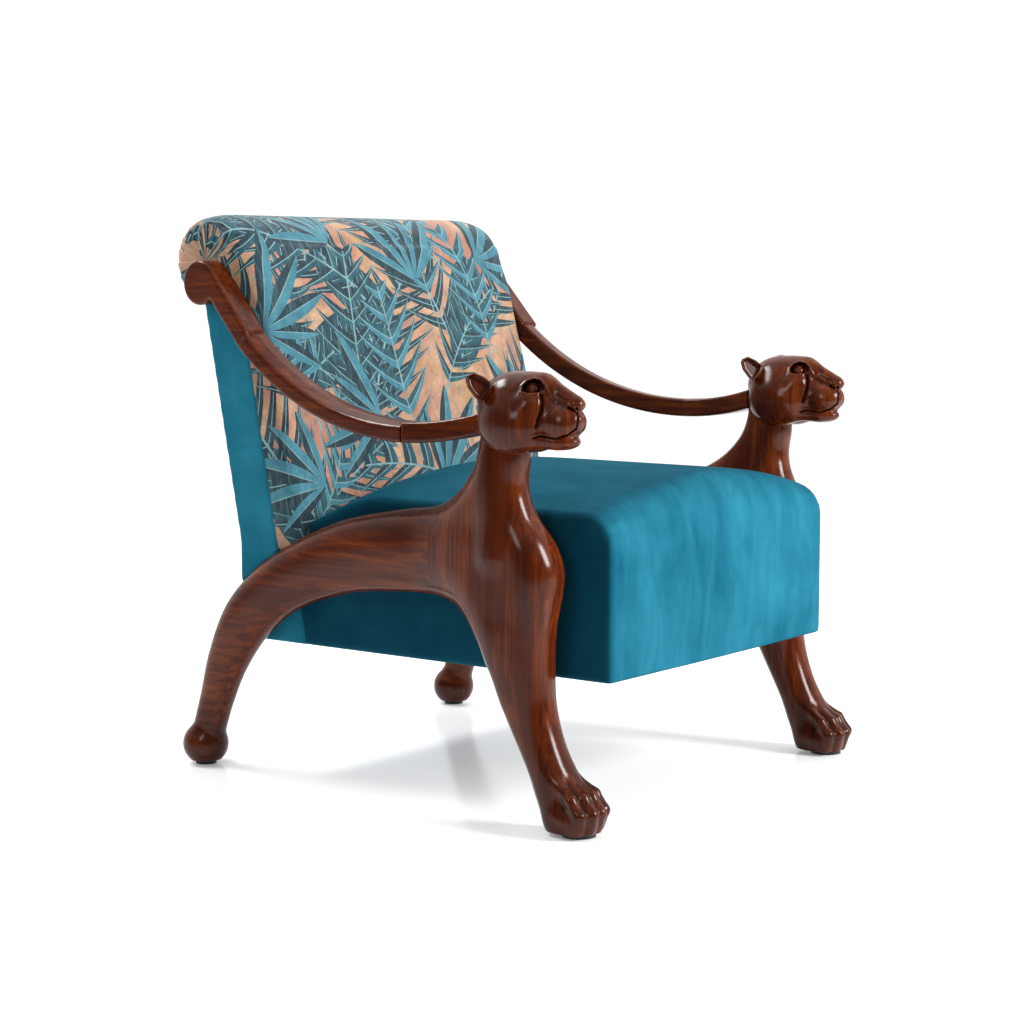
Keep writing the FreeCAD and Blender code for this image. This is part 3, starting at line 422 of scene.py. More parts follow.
def leaf_jacquard(name):
    """Leaves strewn in layers, darkest first."""
    fabric = LeafFabric(name)
    tones = fabric.tones
    strewn = random.Random(tones.seed)

    def spots(columns, rows):
        for column in range(columns):
            for row in range(rows):
                across = (column + 0.5 + strewn.uniform(-0.35, 0.35)) / columns
                along = (row + 0.5 * (column % 2) + strewn.uniform(-0.25, 0.25)) / rows
                yield (across - 0.5) * 0.68, along * 0.86

    def upward(spread):
        return math.pi / 2 + strewn.uniform(-spread, spread)

    for spot in spots(4, 4):
        fabric.broad(spot, upward(1.2), strewn.uniform(0.16, 0.22), 0.22, 9, tones.teal, tones.ink)
    fern_layers = (
        (4, 0.9, (0.26, 0.34), 0.42, 10, 0.4, tones.ink, tones.ink),
        (4, 1.0, (0.2, 0.28), 0.42, 8, 0.5, tones.teal, tones.ink),
        (3, 1.1, (0.18, 0.25), 0.4, 7, 0.5, tones.turquoise, tones.teal))
    for columns, lean, lengths, spread, leaflets, bend, light, dark in fern_layers:
        for spot in spots(columns, 4):
            turn, length = upward(lean), strewn.uniform(*lengths)
            fabric.fern(spot, turn, length, spread, leaflets, strewn.uniform(-bend, bend), light, dark)
    for spot in spots(4, 3):
        turn = upward(1.4)
        for step in (-0.9, -0.45, 0.0, 0.45, 0.9):
            fabric.lance(spot, turn + step, strewn.uniform(0.1, 0.16), 0.1, tones.turquoise, tones.ink)
    return fabric.surface()


def plain(name, colour, roughness, metallic=0.0, grain=300.0):
    """A plain material whose tone varies a little."""
    finish = new_finish(name)
    cloud = finish.noise(finish.object_place(), grain, 2.0, 0.5)
    darker = tuple(part * 0.6 for part in colour)
    tone = finish.mix(cloud, darker, colour)
    return finish.surface(Base_Color=tone, Roughness=roughness, Metallic=metallic)


# Carving: grids of distances to a surface in millimetres, negative inside
class Block:
    """A block that forms are joined to and carved from."""

    def __init__(self, low, high, step):
        self.low = np.array(low, float)
        self.step = step
        axes = [np.arange(start, end + step, step, dtype=np.float32) for start, end in zip(low, high)]
        self.x, self.y, self.z = np.meshgrid(*axes, indexing="ij", sparse=True)
        self.field = np.full([len(axis) for axis in axes], 1000.0, np.float32)

    def join(self, form, soften):
        self.field = blend(self.field, form, soften)

    def carve(self, form, soften):
        self.field = -blend(-self.field, form, soften)

    def keep(self, form):
        self.field = np.maximum(self.field, form)

    def skin(self):
        """Points and faces of the surface, and how far each point lies in a hollow."""
        grid = openvdb.FloatGrid(4.0 * self.step)
        grid.copyFromArray(np.clip(self.field, -4 * self.step, 4 * self.step))
        points, quads = grid.convertToQuads(0.0)
        corners = points[quads[:, :3]]
        normals = np.cross(corners[:, 1] - corners[:, 0], corners[:, 2] - corners[:, 0])
        if np.einsum("ij,ij->", corners[:, 0] - points.mean(axis=0), normals) < 0:
            quads = quads[:, ::-1]
        hollow = self.hollow(points)
        return points.astype(float) * self.step + self.low, quads, hollow

    def hollow(self, points):
        around = np.clip(self.field, -8, 8)
        for axis in (0, 1, 2):
            for reach in (1, 2):
                around = (around + np.roll(around, reach, axis) + np.roll(around, -reach, axis)) / 3
        place = np.clip(np.rint(points).astype(int), 0, np.array(around.shape) - 1)
        deeper = np.clip(self.field, -8, 8) - around
        return deeper[place[:, 0], place[:, 1], place[:, 2]]


def blend(first, second, soften):
    """The nearer of two surfaces, with a soft hollow where they meet."""
    near = np.minimum(first, second)
    if soften <= 0:
        return near
    share = np.maximum(soften - np.abs(first - second), 0) / soften
    return near - share * share * (soften / 4)


def corner(first, second, radius):
    """The edge where two faces meet, rounded over."""
    first, second = first + radius, second + radius
    outside = np.sqrt(np.maximum(first, 0) ** 2 + np.maximum(second, 0) ** 2)
    return np.minimum(np.maximum(first, second), 0) + outside - radius


def ellipsoid(x, y, z, centre, radii):
    """Distance to an ellipsoid."""
    across, along, up = x - centre[0], y - centre[1], z - centre[2]
    near = np.sqrt((across / radii[0]) ** 2 + (along / radii[1]) ** 2 + (up / radii[2]) ** 2)
    slope = np.sqrt((across / radii[0] ** 2) ** 2 + (along / radii[1] ** 2) ** 2 + (up / radii[2] ** 2) ** 2)
    return near * (near - 1) / np.maximum(slope, 1e-6)


def rod(x, y, z, start, end, first, last):
    """Distance to a rounded rod whose radius changes from one end to the other."""
    way = [b - a for a, b in zip(start, end)]
    long = sum(part * part for part in way)
    share = ((x - start[0]) * way[0] + (y - start[1]) * way[1] + (z - start[2]) * way[2]) / long
    share = np.clip(share, 0, 1)
    gaps = [axis - begin - share * part for axis, begin, part in zip((x, y, z), start, way)]
    return np.sqrt(gaps[0] ** 2 + gaps[1] ** 2 + gaps[2] ** 2) - (first + (last - first) * share)


def curve(places, values, at):
    """Smooth values between measured places."""
    places, values = np.asarray(places, float), np.asarray(values, float)
    slopes = np.gradient(values, places)
    index = np.clip(np.searchsorted(places, at) - 1, 0, len(places) - 2)
    span = places[index + 1] - places[index]
    share = np.clip((at - places[index]) / span, 0, 1)
    rest = 1 - share
    start = (1 + 2 * share) * rest ** 2 * values[index] + share * rest ** 2 * span * slopes[index]
    end = share ** 2 * (3 - 2 * share) * values[index + 1] - share ** 2 * rest * span * slopes[index + 1]
    return (start + end).astype(np.float32)


def section(across, along, half_wide, half_long, power):
    """Distance to a rounded section, squarer for a higher power."""
    near = (np.abs(across / half_wide) ** power + np.abs(along / half_long) ** power) ** (1 / power)
    return (near - 1) * np.minimum(half_wide, half_long)


FAR = 50
INNER_FACE = 267.0
GLUE_JOINT = -112.0
SEAT_FOOT = 189.0
SOLE = 5.0
HEAD_OUT = 328.0
LEG_OUT = 316.0

# Head: how softly each form is joined, its middle outward from the head's middle, its half sizes
SKULL = [
    (0, (0, -252, 541), (45, 56, 45)),
    (14, (0, -284, 560), (27, 30, 24)),
    (6, (24, -257, 522), (31, 48, 40)),
    (10, (24, -286, 545), (19, 20, 17)),
    (14, (0, -312, 527), (27, 38, 23)),
    (10, (10, -325, 521), (15, 19, 15)),
    (5, (0, -318, 500), (20, 26, 11)),
    (4, (0, -342, 546), (11.5, 9.5, 7.5)),
]
BRIDGE = [(0, -292, 569), (0, -338, 549)]
JAW = [(14, -318, 501), (27, -284, 503)]

# Lines of the face as a three-quarter view shows them
VIEW_TURN = (0.603, 0.798)
VIEW_TIP = 0.1055
EYE = [
    (203, 541), (205, 549), (211, 555), (219, 558), (227, 556), (233, 549), (232, 544), (226, 540),
    (210, 539)]
EYE_DEEP = 9
EYEBALL = (217.5, 546.5)
EYEBALL_RADIUS = 8.5
EYEBALL_TALL = 6
BROW = [(202, 539), (204, 549), (210, 555.5), (219, 559), (228, 556.5), (234, 549)]
LOWER_LID = [(203, 541), (211, 538), (221, 538), (228, 540)]
TEAR_LINE = [(234, 546), (239, 537), (247, 533), (262, 524)]
CHEEK_FOLD = [(228, 537), (230, 529), (228, 517), (222, 498)]
MOUTH = [(218, 483), (228, 486), (246, 482), (261, 487), (270, 494)]
PHILTRUM = [(271, 516), (274, 510), (273, 504), (271, 494)]
NOSTRIL = [(262, 521), (271, 516), (272, 520)]
EAR = [
    (134, 557), (136, 563), (145, 567), (157, 562), (168, 554), (164, 543), (153, 529), (145, 536),
    (137, 547)]
EAR_FACING = Vector((0.5, -0.82, 0.25)).normalized()
EAR_MIDDLE = (48, -223, 565)

# Each line's half width, its height or depth, and how softly it meets the skull
RIDGES = ((BROW, 1.0, 0.8, 1.5), (LOWER_LID, 1.0, 0.3, 2), (TEAR_LINE, 1.1, 0.7, 2))
GROOVES = ((CHEEK_FOLD, 1.3, 4.0, 4), (MOUTH, 0.7, 4.5, 2), (PHILTRUM, 0.6, 2.5, 2), (NOSTRIL, 1.2, 4.0, 2))

# Paw: middles and half sizes of its heel and forefoot, and the ends and radii of its instep
HEEL = ((0, -318, 24), (31, 27, 28))
FOREFOOT = ((0, -338, 22), (35, 29, 27))
INSTEP = ((0, -304, 58), (0, -328, 42), 24, 23)

# Joints of a toe: share of its spread, share of its set back, place along, height, radius
TOE_JOINTS = ((0.66, 0.5, -310, 76, 5), (1, 1, -350, 50, 8), (1, 1, -364, 31, 8.5), (0.94, 1, -356, 9, 8.5))
TOES = 4
TOE_PITCH = 17.5
OUTER_TOE_BACK = 7
HIND_BALL = ((289, 346, 29), (33, 33, 32))

# Foreleg, chest and neck: height, set back, depth, width, outward
FORELEG = [
    (5, -325, 60, 60, 316), (50, -308, 62, 60, 316), (79, -296, 62, 60, 316), (97, -286, 61, 59, 316),
    (140, -266, 67, 63, 316), (165, -257, 73, 70, 316), (190, -251, 80, 77, 316), (210, -246, 85, 82, 316),
    (248, -237, 87, 84, 316), (275, -230, 86, 82, 316), (305, -225, 85, 82, 316), (335, -222, 83, 82, 316),
    (364, -215, 74, 78, 318), (388, -210, 66, 70, 321), (414, -211, 68, 68, 324), (440, -217, 68, 67, 326),
    (472, -227, 68, 64, 327), (500, -230, 64, 60, 328)]

# Muscles of the chest: upper and lower end, their radii, and how softly they are joined
CHEST_MUSCLES = (
    ((312, -229, 474), (299, -238, 342), 15, 21, 6),
    ((340, -221, 474), (342, -226, 350), 14, 18, 16))
NECK_TENON = 7
NECK_TOP = 506

# Back, flank, thigh and hind leg: set back, height, depth, width, outward
HAUNCH = [
    (-232, 330, 112, 76, 305), (-170, 346, 114, 74, 303), (-112, 345, 116, 72, 299),
    (-25, 338, 109, 68, 295), (70, 322, 99, 64, 291), (163, 288, 87, 60, 290), (220, 254, 82, 56, 290),
    (263, 213, 77, 54, 290), (298, 156, 63, 48, 290), (321, 100, 51, 44, 289), (333, 66, 48, 44, 289),
    (343, 36, 47, 45, 289)]
SHOULDER_START, SHOULDER_LONG = -228, 165
SHOULDER_BLEND = 105
SECTION_POWER = 2.25
SWEEP_POINTS = 600


def head_form(block):
    """Skull, bridge, muzzle and jaws, without their details."""
    x, y, z = np.abs(block.x - HEAD_OUT), block.y, block.z
    form = None
    for soften, centre, radii in SKULL:
        lump = ellipsoid(x, y, z, centre, radii)
        form = lump if form is None else blend(form, lump, soften)
    form = blend(form, rod(x, y, z, *BRIDGE, 14, 10), 7)
    return blend(form, rod(x, y, z, *JAW, 9, 12), 8)


def carve_head(step):
    """A panther's head that faces forward, with the lines of its face cut into the skull."""
    block = Block((266, -366, 466), (390, -184, 600), step)
    x, y, z = np.abs(block.x - HEAD_OUT), block.y, block.z
    skull = head_form(block)
    side, front = VIEW_TURN
    right = -front * y - side * x
    up = z + VIEW_TIP * (side * y - front * x)
    block.join(skull, 0)
    block.carve(np.maximum(outline(right, up, EYE), -EYE_DEEP - skull), 1)
    off_middle = np.hypot(right - EYEBALL[0], up - EYEBALL[1]) / EYEBALL_RADIUS
    ball = skull + EYE_DEEP - EYEBALL_TALL * np.sqrt(np.maximum(1 - off_middle ** 2, 0))
    block.join(np.where(off_middle < 1, ball, FAR), 0)
    for points, half_wide, tall, soften in RIDGES:
        block.join(np.maximum(drawn(right, up, points) - half_wide, np.abs(skull) - tall), soften)
    for points, half_wide, deep, soften in GROOVES:
        block.carve(np.maximum(drawn(right, up, points) - half_wide, -deep - skull), soften)
    flap = sum((axis - middle) * part for axis, middle, part in zip((x, y, z), EAR_MIDDLE, EAR_FACING))
    shape = outline(right, up, EAR)
    block.join(corner(shape, np.abs(flap) - 6, 4), 4)
    block.carve(corner(shape + 3, -2 - flap, 3), 1.5)
    return block.skin()


def haunch_sweep(block):
    """How far each place of the side view lies from the haunch's middle line, and its sizes there."""
    index = np.arange(len(HAUNCH), dtype=float)
    fine = np.linspace(0, len(HAUNCH) - 1, SWEEP_POINTS)
    along, up, deep, wide, out = (curve(index, [row[k] for row in HAUNCH], fine) for k in range(5))
    y, z = block.y[0], block.z[0]
    near = np.full((block.y.size, block.z.size), 1e6, np.float32)
    nearest = np.zeros(near.shape, int)
    for place in range(len(fine)):
        gap = np.hypot(y - along[place], z - up[place])
        closer = gap < near
        near[closer] = gap[closer]
        nearest[closer] = place
    return near, deep[nearest] / 2, wide[nearest] / 2, out[nearest]


def side_form(block):
    """Foreleg, chest, neck, flank and hind leg in one: a side view with its thickness across."""
    heights = [row[0] for row in FORELEG]
    back, deep, wide, out = (curve(heights, [row[k] for row in FORELEG], block.z[0]) for k in (1, 2, 3, 4))
    near, haunch_deep, haunch_wide, haunch_out = haunch_sweep(block)
    leg = np.abs(block.y[0] - back) - deep / 2
    view = blend(leg, near - haunch_deep, SHOULDER_BLEND)
    share = np.clip((block.y[0] - SHOULDER_START) / SHOULDER_LONG, 0, 1)
    share = share * share * (3 - 2 * share)
    half_deep = deep / 2 * (1 - share) + haunch_deep * share
    half_wide = wide / 2 * (1 - share) + haunch_wide * share
    middle = out * (1 - share) + haunch_out * share
    inward = np.maximum(view + half_deep, 0)
    return section(block.x - middle[None], inward[None], half_wide[None], half_deep[None], SECTION_POWER)


def dress_side(block):
    """Saw off what stands inside the seat's side or under the soles."""
    below_seat = np.where(block.z < SEAT_FOOT, -FAR, 0)
    block.keep(INNER_FACE - block.x + 0 * block.y + below_seat)
    block.keep(SOLE - block.z)


def carve_post(step):
    """Foreleg, chest and neck with the shoulder behind and the paw in front."""
    block = Block((252, -392, 0), (380, -100, 516), step)
    block.join(side_form(block), 0)
    x, y, z = block.x, block.y, block.z
    for *muscle, soften in CHEST_MUSCLES:
        block.join(rod(x, y, z, *muscle), soften)
    block.join(paw(block), 8)
    block.carve(head_form(block) + NECK_TENON, 0)
    dress_side(block)
    block.keep(block.z - NECK_TOP)
    return block.skin()


def paw(block):
    """A heel and four toes with long tendons and bent knuckles."""
    x, y, z = block.x - LEG_OUT, block.y, block.z
    whole = ellipsoid(x, y, z, *HEEL)
    whole = blend(whole, ellipsoid(x, y, z, *FOREFOOT), 8)
    whole = blend(whole, rod(x, y, z, *INSTEP), 8)
    toes = None
    for index in range(TOES):
        out = (index - (TOES - 1) / 2) * TOE_PITCH
        back = OUTER_TOE_BACK if index in (0, TOES - 1) else 0
        joints = [(out * spread, along + back * set_back, height)
                  for spread, set_back, along, height, _ in TOE_JOINTS]
        toe = None
        for start, end, first, last in zip(joints, joints[1:], TOE_JOINTS, TOE_JOINTS[1:]):
            bone = rod(x, y, z, start, end, first[-1], last[-1])
            toe = bone if toe is None else blend(toe, bone, 3)
        claw = rod(x, y, z, (out, -373 + back, 25), (out * 0.94, -366 + back, 6), 0.8, 1.2)
        toe = -blend(-toe, claw, 2)
        toes = toe if toes is None else blend(toes, toe, 3)
    return blend(whole, toes, 7)


def carve_haunch(step):
    """Flank, thigh and hind leg in one sweep, down to the ball under the foot."""
    block = Block((252, -124, 0), (346, 386, 460), step)
    block.join(side_form(block), 0)
    block.join(ellipsoid(block.x, block.y, block.z, *HIND_BALL), 6)
    dress_side(block)
    return block.skin()


ARM_PIVOT = (336.0, -80.0, 954.0)
ARM_RADIUS = 465.0
ARM_TALL = 27
ARM_HALF_WIDE = 19
ARM_EDGE = 4
FRONT_YAW, RAIL_YAW = -6.6, 3.6
ARM_TURN = 8
SCROLL_MIDDLE = (388.0, -260.0)
ROUNDEL = 31


def arm_place(block, yaw):
    """Coordinates of a block across the arm, along it, and up."""
    turn = math.radians(yaw)
    across, along = block.x - ARM_PIVOT[0], block.y - ARM_PIVOT[1]
    aside = across * math.cos(turn) + along * math.sin(turn)
    return aside, along * math.cos(turn) - across * math.sin(turn), block.z - ARM_PIVOT[2]


def arm_bar(across, along, up, top_slope):
    """The tail's section swept about the centre of its sag, its top falling outward."""
    reach = np.sqrt(along ** 2 + up ** 2)
    top = ARM_RADIUS - ARM_TALL + top_slope * np.maximum(across, 0)
    tall = corner(reach - ARM_RADIUS, top - reach, 3)
    return corner(tall, np.abs(across) - ARM_HALF_WIDE, ARM_EDGE), np.degrees(np.arctan2(along, -up))


def carve_arm_front(step):
    """The stretch of the tail that enters the back of the head."""
    block = Block((296, -222, 470), (362, -74, 540), step)
    across, along, up = arm_place(block, FRONT_YAW)
    bar, swept = arm_bar(across, along, up, 0.0)
    block.join(corner(bar, (swept - 0.25) * ARM_TURN, 1), 0)
    block.keep(-205 - block.y)
    return block.skin()


def carve_arm_rail(step):
    """The sagging stretch of the tail, its top dressed off outward."""
    block = Block((290, -86, 480), (362, 238, 640), step)
    across, along, up = arm_place(block, RAIL_YAW)
    bar, swept = arm_bar(across, along, up, 0.3)
    ahead = corner(bar, (swept - 41.44) * ARM_TURN, 1)
    block.join(corner(ahead, (0.06 - swept) * ARM_TURN, 1), 0)
    return block.skin()


def carve_arm_scroll(step):
    """The straight end of the tail and its roundel."""
    block = Block((280, 212, 590), (340, 346, 732), step)
    across, along, up = arm_place(block, RAIL_YAW)
    end, rise, under = (math.radians(angle) for angle in (41.2, 50, 44))
    middle_along, middle_up = SCROLL_MIDDLE
    top_radius = ARM_RADIUS - ARM_TALL
    bar = outline(along, up, [
        (ARM_RADIUS * math.sin(end), -ARM_RADIUS * math.cos(end)),
        (middle_along - ROUNDEL * math.cos(under), middle_up - ROUNDEL * math.sin(under)),
        SCROLL_MIDDLE,
        (middle_along - ROUNDEL * math.sin(rise), middle_up + ROUNDEL * math.cos(rise)),
        (top_radius * math.sin(end), -top_radius * math.cos(end))])
    roundel = np.sqrt((along - middle_along) ** 2 + (up - middle_up) ** 2) - ROUNDEL
    block.join(corner(blend(bar, roundel, 4), np.abs(across) - ARM_HALF_WIDE, ARM_EDGE), 0)
    return block.skin()


def drawn(across, up, points):
    """Distance to a line drawn through some points."""
    near = None
    for (ax, ay), (bx, by) in zip(points, points[1:]):
        wide, tall = bx - ax, by - ay
        share = ((across - ax) * wide + (up - ay) * tall) / (wide ** 2 + tall ** 2)
        share = np.clip(share, 0, 1)
        gap = np.hypot(across - ax - share * wide, up - ay - share * tall)
        near = gap if near is None else np.minimum(near, gap)
    return near


def outline(across, up, points):
    """Distance to a closed outline of straight sides."""
    inside = False
    for (ax, ay), (bx, by) in zip(points, points[1:] + points[:1]):
        beside = across < ax + (up - ay) * (bx - ax) / ((by - ay) or 1e-9)
        inside = inside ^ (((up >= ay) != (up >= by)) & beside)
    near = drawn(across, up, points + points[:1])
    return np.where(inside, -near, near)


# Pieces
def new_piece(name, points, faces, material, **attributes):
    """A smooth object from points in millimetres, with values kept at its points."""
    mesh = bpy.data.meshes.new(name)
    mesh.from_pydata((np.asarray(points) * MM).tolist(), [], np.asarray(faces).tolist())
    mesh.materials.append(material)
    mesh.shade_smooth()
    piece = bpy.data.objects.new(name, mesh)
    bpy.context.scene.collection.objects.link(piece)
    for attribute, values in attributes.items():
        keep_values(mesh, attribute, values)
    return piece


def keep_values(mesh, name, values):
    values = np.asarray(values, np.float32)
    kind, field = ("FLOAT", "value") if values.ndim == 1 else ("FLOAT_VECTOR", "vector")
    mesh.attributes.new(name, kind, "POINT").data.foreach_set(field, values.ravel())


def places_of(piece):
    """Points of a piece in millimetres."""
    flat = np.empty(len(piece.data.vertices) * 3, np.float32)
    piece.data.vertices.foreach_get("co", flat)
    return flat.reshape(-1, 3) / MM


def side_facing(piece):
    """How far each point of a piece faces sideways, and a little less how far it faces upward: the weight of
    painted shade there.
    """
    flat = np.empty(len(piece.data.vertices) * 3, np.float32)
    piece.data.vertex_normals.foreach_get("vector", flat)
    return flat[::3] ** 2 + 0.85 * np.abs(flat[2::3]) ** 3


def set_places(piece, points):
    piece.data.vertices.foreach_set("co", (np.asarray(points, np.float32) * MM).ravel())
    piece.data.update()


def saw(piece, ahead):
    """Saw a carved piece flat at the glue joint, keeping what lies ahead of it or behind."""
    shape = bmesh.new()
    shape.from_mesh(piece.data)
    everything = shape.verts[:] + shape.edges[:] + shape.faces[:]
    bmesh.ops.bisect_plane(
        shape, geom=everything, plane_co=(0, GLUE_JOINT * MM, 0), plane_no=(0, ahead, 0), clear_outer=True)
    rim = [edge for edge in shape.edges if edge.is_boundary]
    bmesh.ops.holes_fill(shape, edges=rim)
    bmesh.ops.split_edges(shape, edges=rim)
    shape.to_mesh(piece.data)
    shape.free()


def add_both(name, carved, material, sawn=0):
    """A carved piece on the sitter's left and its mirror image on the right."""
    points, faces, hollow = carved
    for side, turn in SIDES.items():
        mirrored = points * np.array([turn, 1, 1])
        piece = new_piece(f"{side}_{name}_carved", mirrored, faces[:, ::turn], material, recess=hollow)
        if sawn:
            saw(piece, sawn)
        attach(piece, "root")
        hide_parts(f"{side}_{name}")


# Padding
SEAT_FRONT = -353.5
SEAT_HALF_WIDE = 269.5
SEAT_UNDER = 187.5
SEAT_SEAM = 404
SEAT_CROWN, FRONT_CROWN = 37, 3
SEAT_NOSE = 46
SEAT_FALL = 52
SHELL_LAP, PAD_LAP = 52, 38
PAD_FOOT = 318
RAKE = math.radians(11)
ROLL_MIDDLE = (327.0, 725.0)
ROLL_RADIUS = 63.0
ROLL_FRONT = 0.82
PAD_LONG = 395.0
PAD_HALF_WIDE = 294
PAD_CROWN = 8
BACK_HALF_WIDE = 296.5
SHELL_UNDER = 187
PLEATS = 18
PLEATS_OUT = 296.6
CLOTH = {"use_pressure": True, "quality": 4, "tension_stiffness": 25, "compression_stiffness": 12,
         "bending_stiffness": 1.5}


def back_place(y, z):
    """How far points lie behind the raked line through the roll's middle, and up along it."""
    along, up = y - ROLL_MIDDLE[0], z - ROLL_MIDDLE[1]
    return along * math.cos(RAKE) - up * math.sin(RAKE), along * math.sin(RAKE) + up * math.cos(RAKE)


def seat_form(step):
    """A deep box cushion with a crowned top, a rolled nose and a top that falls to the back."""
    block = Block((-280, -370, 180), (280, 236, 456), step)
    x, y, z = block.x, block.y, block.z
    spread = 1 - (x / INNER_FACE) ** 2
    fall = SEAT_FALL * (np.maximum(y - 10, 0) / 160) ** 1.9
    top = z - SEAT_SEAM - SEAT_CROWN * spread + fall
    nose = corner(top, SEAT_FRONT - FRONT_CROWN * spread - y, SEAT_NOSE)
    sides = corner(corner(nose, np.abs(x) - SEAT_HALF_WIDE, 6), SEAT_UNDER - z, 5)
    behind, _ = back_place(y, z)
    rear = behind + SHELL_LAP + PAD_LAP * np.clip((z - PAD_FOOT) / 20, 0, 1)
    block.join(np.maximum(sides, rear), 0)
    return block.skin()


def pad_fullness(up):
    """How far the front of the pad swells before the raked line, along its height."""
    return curve((-400, -335, -170, -125, -45, 0, 40, 80), (33, 36, 36, 32, 26, 14, 4, 0), up)


def back_form(step):
    """A raked pad with a full front, running over a roll with drawn-in ends."""
    block = Block((-306, 110, 300), (306, 402, 804), step)
    x, (behind, up) = np.abs(block.x), back_place(block.y, block.z)
    crown = PAD_CROWN * (1 - (x / PAD_HALF_WIDE) ** 2)
    face = corner(-ROLL_RADIUS - pad_fullness(up) - crown - behind, x - PAD_HALF_WIDE, 20)
    pad = np.maximum(np.maximum(face, 322 - block.z), np.maximum(behind + 22, up - 2))
    drawn_in = np.clip((x - 250) / 46, 0, 1)
    radius = ROLL_RADIUS + 2 - 8 * drawn_in ** 2
    aside = np.sqrt((behind * np.where(behind < 0, ROLL_FRONT, 1)) ** 2 + up ** 2)
    block.join(pad, 0)
    block.join(corner(aside - radius, x - BACK_HALF_WIDE, 10), 14)
    return block.skin()


def shell_form(step):
    """The velvet sides and outside of the back."""
    block = Block((-306, 160, 178), (306, 354, 706), step)
    x, y, z = np.abs(block.x), block.y, block.z
    behind, up = back_place(y, z)
    rear = np.minimum(y - 267, behind - 16.4)
    front = -56 - behind
    slab = corner(rear, np.maximum(front, up + 12), 5)
    core = corner(corner(slab, x - INNER_FACE, 4), SHELL_UNDER - z, 4)
    line = 324 - (y - 187) * 54 / 76
    wings = corner(corner(slab, x - BACK_HALF_WIDE, 5), line - z, 3)
    block.join(core, 0)
    block.join(wings, 0)
    return block.skin()


def fold_mesh():
    """One fold of the roll's end, from its middle out over the rim and a little way along the roll."""
    span = math.tau / PLEATS
    points, faces = [], []
    reaches = np.linspace(0, 1, 24)
    turns = np.linspace(-0.5, 0.5, 11)
    for reach in reaches:
        travel = 12 + 74 * reach
        bend = min(max((travel - 47) / 16, 0), 1) * math.pi / 2
        along = max(travel - 63, 0)
        out = min(travel, 47) + 10 * math.sin(bend) + along * 0.25
        back = -10 * (1 - math.cos(bend)) - along
        sunk = 1.3 * (max(reach - 0.8, 0) / 0.2) ** 2
        swell = math.sin(math.pi * min(reach * 0.94 + 0.04, 1)) ** 1.2
        for turn in turns:
            lift = 2.6 * swell * (turn + 0.5) ** 1.3 * min(1, (0.5 - turn) / 0.2)
            reach_out = out + lift * math.sin(bend) - sunk
            angle = turn * span
            rise = back + lift * math.cos(bend)
            points.append((reach_out * math.cos(angle), reach_out * math.sin(angle), rise))
    count = len(turns)
    for row in range(len(reaches) - 1):
        for column in range(count - 1):
            first = row * count + column
            faces.append((first, first + count, first + count + 1, first + 1))
    return points, faces


def pleat_nodes(fold, material):
    """Geometry nodes that turn copies of a fold about the middle of the roll's end."""
    tree = bpy.data.node_groups.new("roll pleats", "GeometryNodeTree")
    tree.interface.new_socket("Pleats", in_out="INPUT", socket_type="NodeSocketInt")
    tree.interface.new_socket("Geometry", in_out="OUTPUT", socket_type="NodeSocketGeometry")

    nodes = Nodes(tree)
    count = nodes.node("NodeGroupInput", output="Pleats")
    points = nodes.node("GeometryNodePoints", None, {"Count": count})
    angle = nodes.node("GeometryNodeInputIndex") / count * math.tau
    turn = nodes.node("ShaderNodeCombineXYZ", None, {"Z": angle})
    turned = nodes.node("FunctionNodeEulerToRotation", None, {0: turn})
    shape = nodes.node("GeometryNodeObjectInfo", None, {"Object": fold}, "Geometry")
    copies = nodes.node("GeometryNodeInstanceOnPoints", None, {
        "Points": points, "Instance": shape, "Rotation": turned})
    solid = nodes.node("GeometryNodeRealizeInstances", None, {0: copies})
    covered = nodes.node("GeometryNodeSetMaterial", None, {"Geometry": solid, "Material": material})
    nodes.node("NodeGroupOutput", None, {0: covered}, None)
    return tree


def add_pleats(pad):
    """Folds drawn in round both ends of the roll, made one with the pad."""
    points, faces = fold_mesh()
    fold = new_piece("fold", points, faces, pad.data.materials[0])
    ring = new_piece("pleats", [], [], pad.data.materials[0])
    modifier = ring.modifiers.new("pleats", "NODES")
    modifier.node_group = pleat_nodes(fold, pad.data.materials[0])
    socket = modifier.node_group.interface.items_tree["Pleats"]
    modifier[socket.identifier] = PLEATS
    made = bpy.data.meshes.new_from_object(ring.evaluated_get(bpy.context.evaluated_depsgraph_get()))
    ring.modifiers.remove(modifier)
    flat = np.empty(len(made.vertices) * 3, np.float32)
    made.vertices.foreach_get("co", flat)
    local = flat.reshape(-1, 3) / MM
    quads = np.array([list(face.vertices) for face in made.polygons])
    whole, sides = places_of(pad), [list(face.vertices) for face in pad.data.polygons]
    behind = local[:, 0] / np.where(local[:, 0] < 0, ROLL_FRONT, 1)
    back = ROLL_MIDDLE[0] + behind * math.cos(RAKE) + local[:, 1] * math.sin(RAKE)
    height = ROLL_MIDDLE[1] + local[:, 1] * math.cos(RAKE) - behind * math.sin(RAKE)
    for turn in (-1, 1):
        end = np.stack([turn * (PLEATS_OUT + local[:, 2]), back, height], axis=1)
        sides += (quads[:, ::turn] + len(whole)).tolist()
        whole = np.concatenate([whole, end])
    for piece in (fold, ring):
        bpy.data.objects.remove(piece)
    old = pad.data
    pad.data = bpy.data.meshes.new(old.name)
    pad.data.from_pydata((whole * MM).tolist(), [], sides)
    pad.data.materials.append(old.materials[0])
    pad.data.shade_smooth()
    bpy.data.meshes.remove(old)


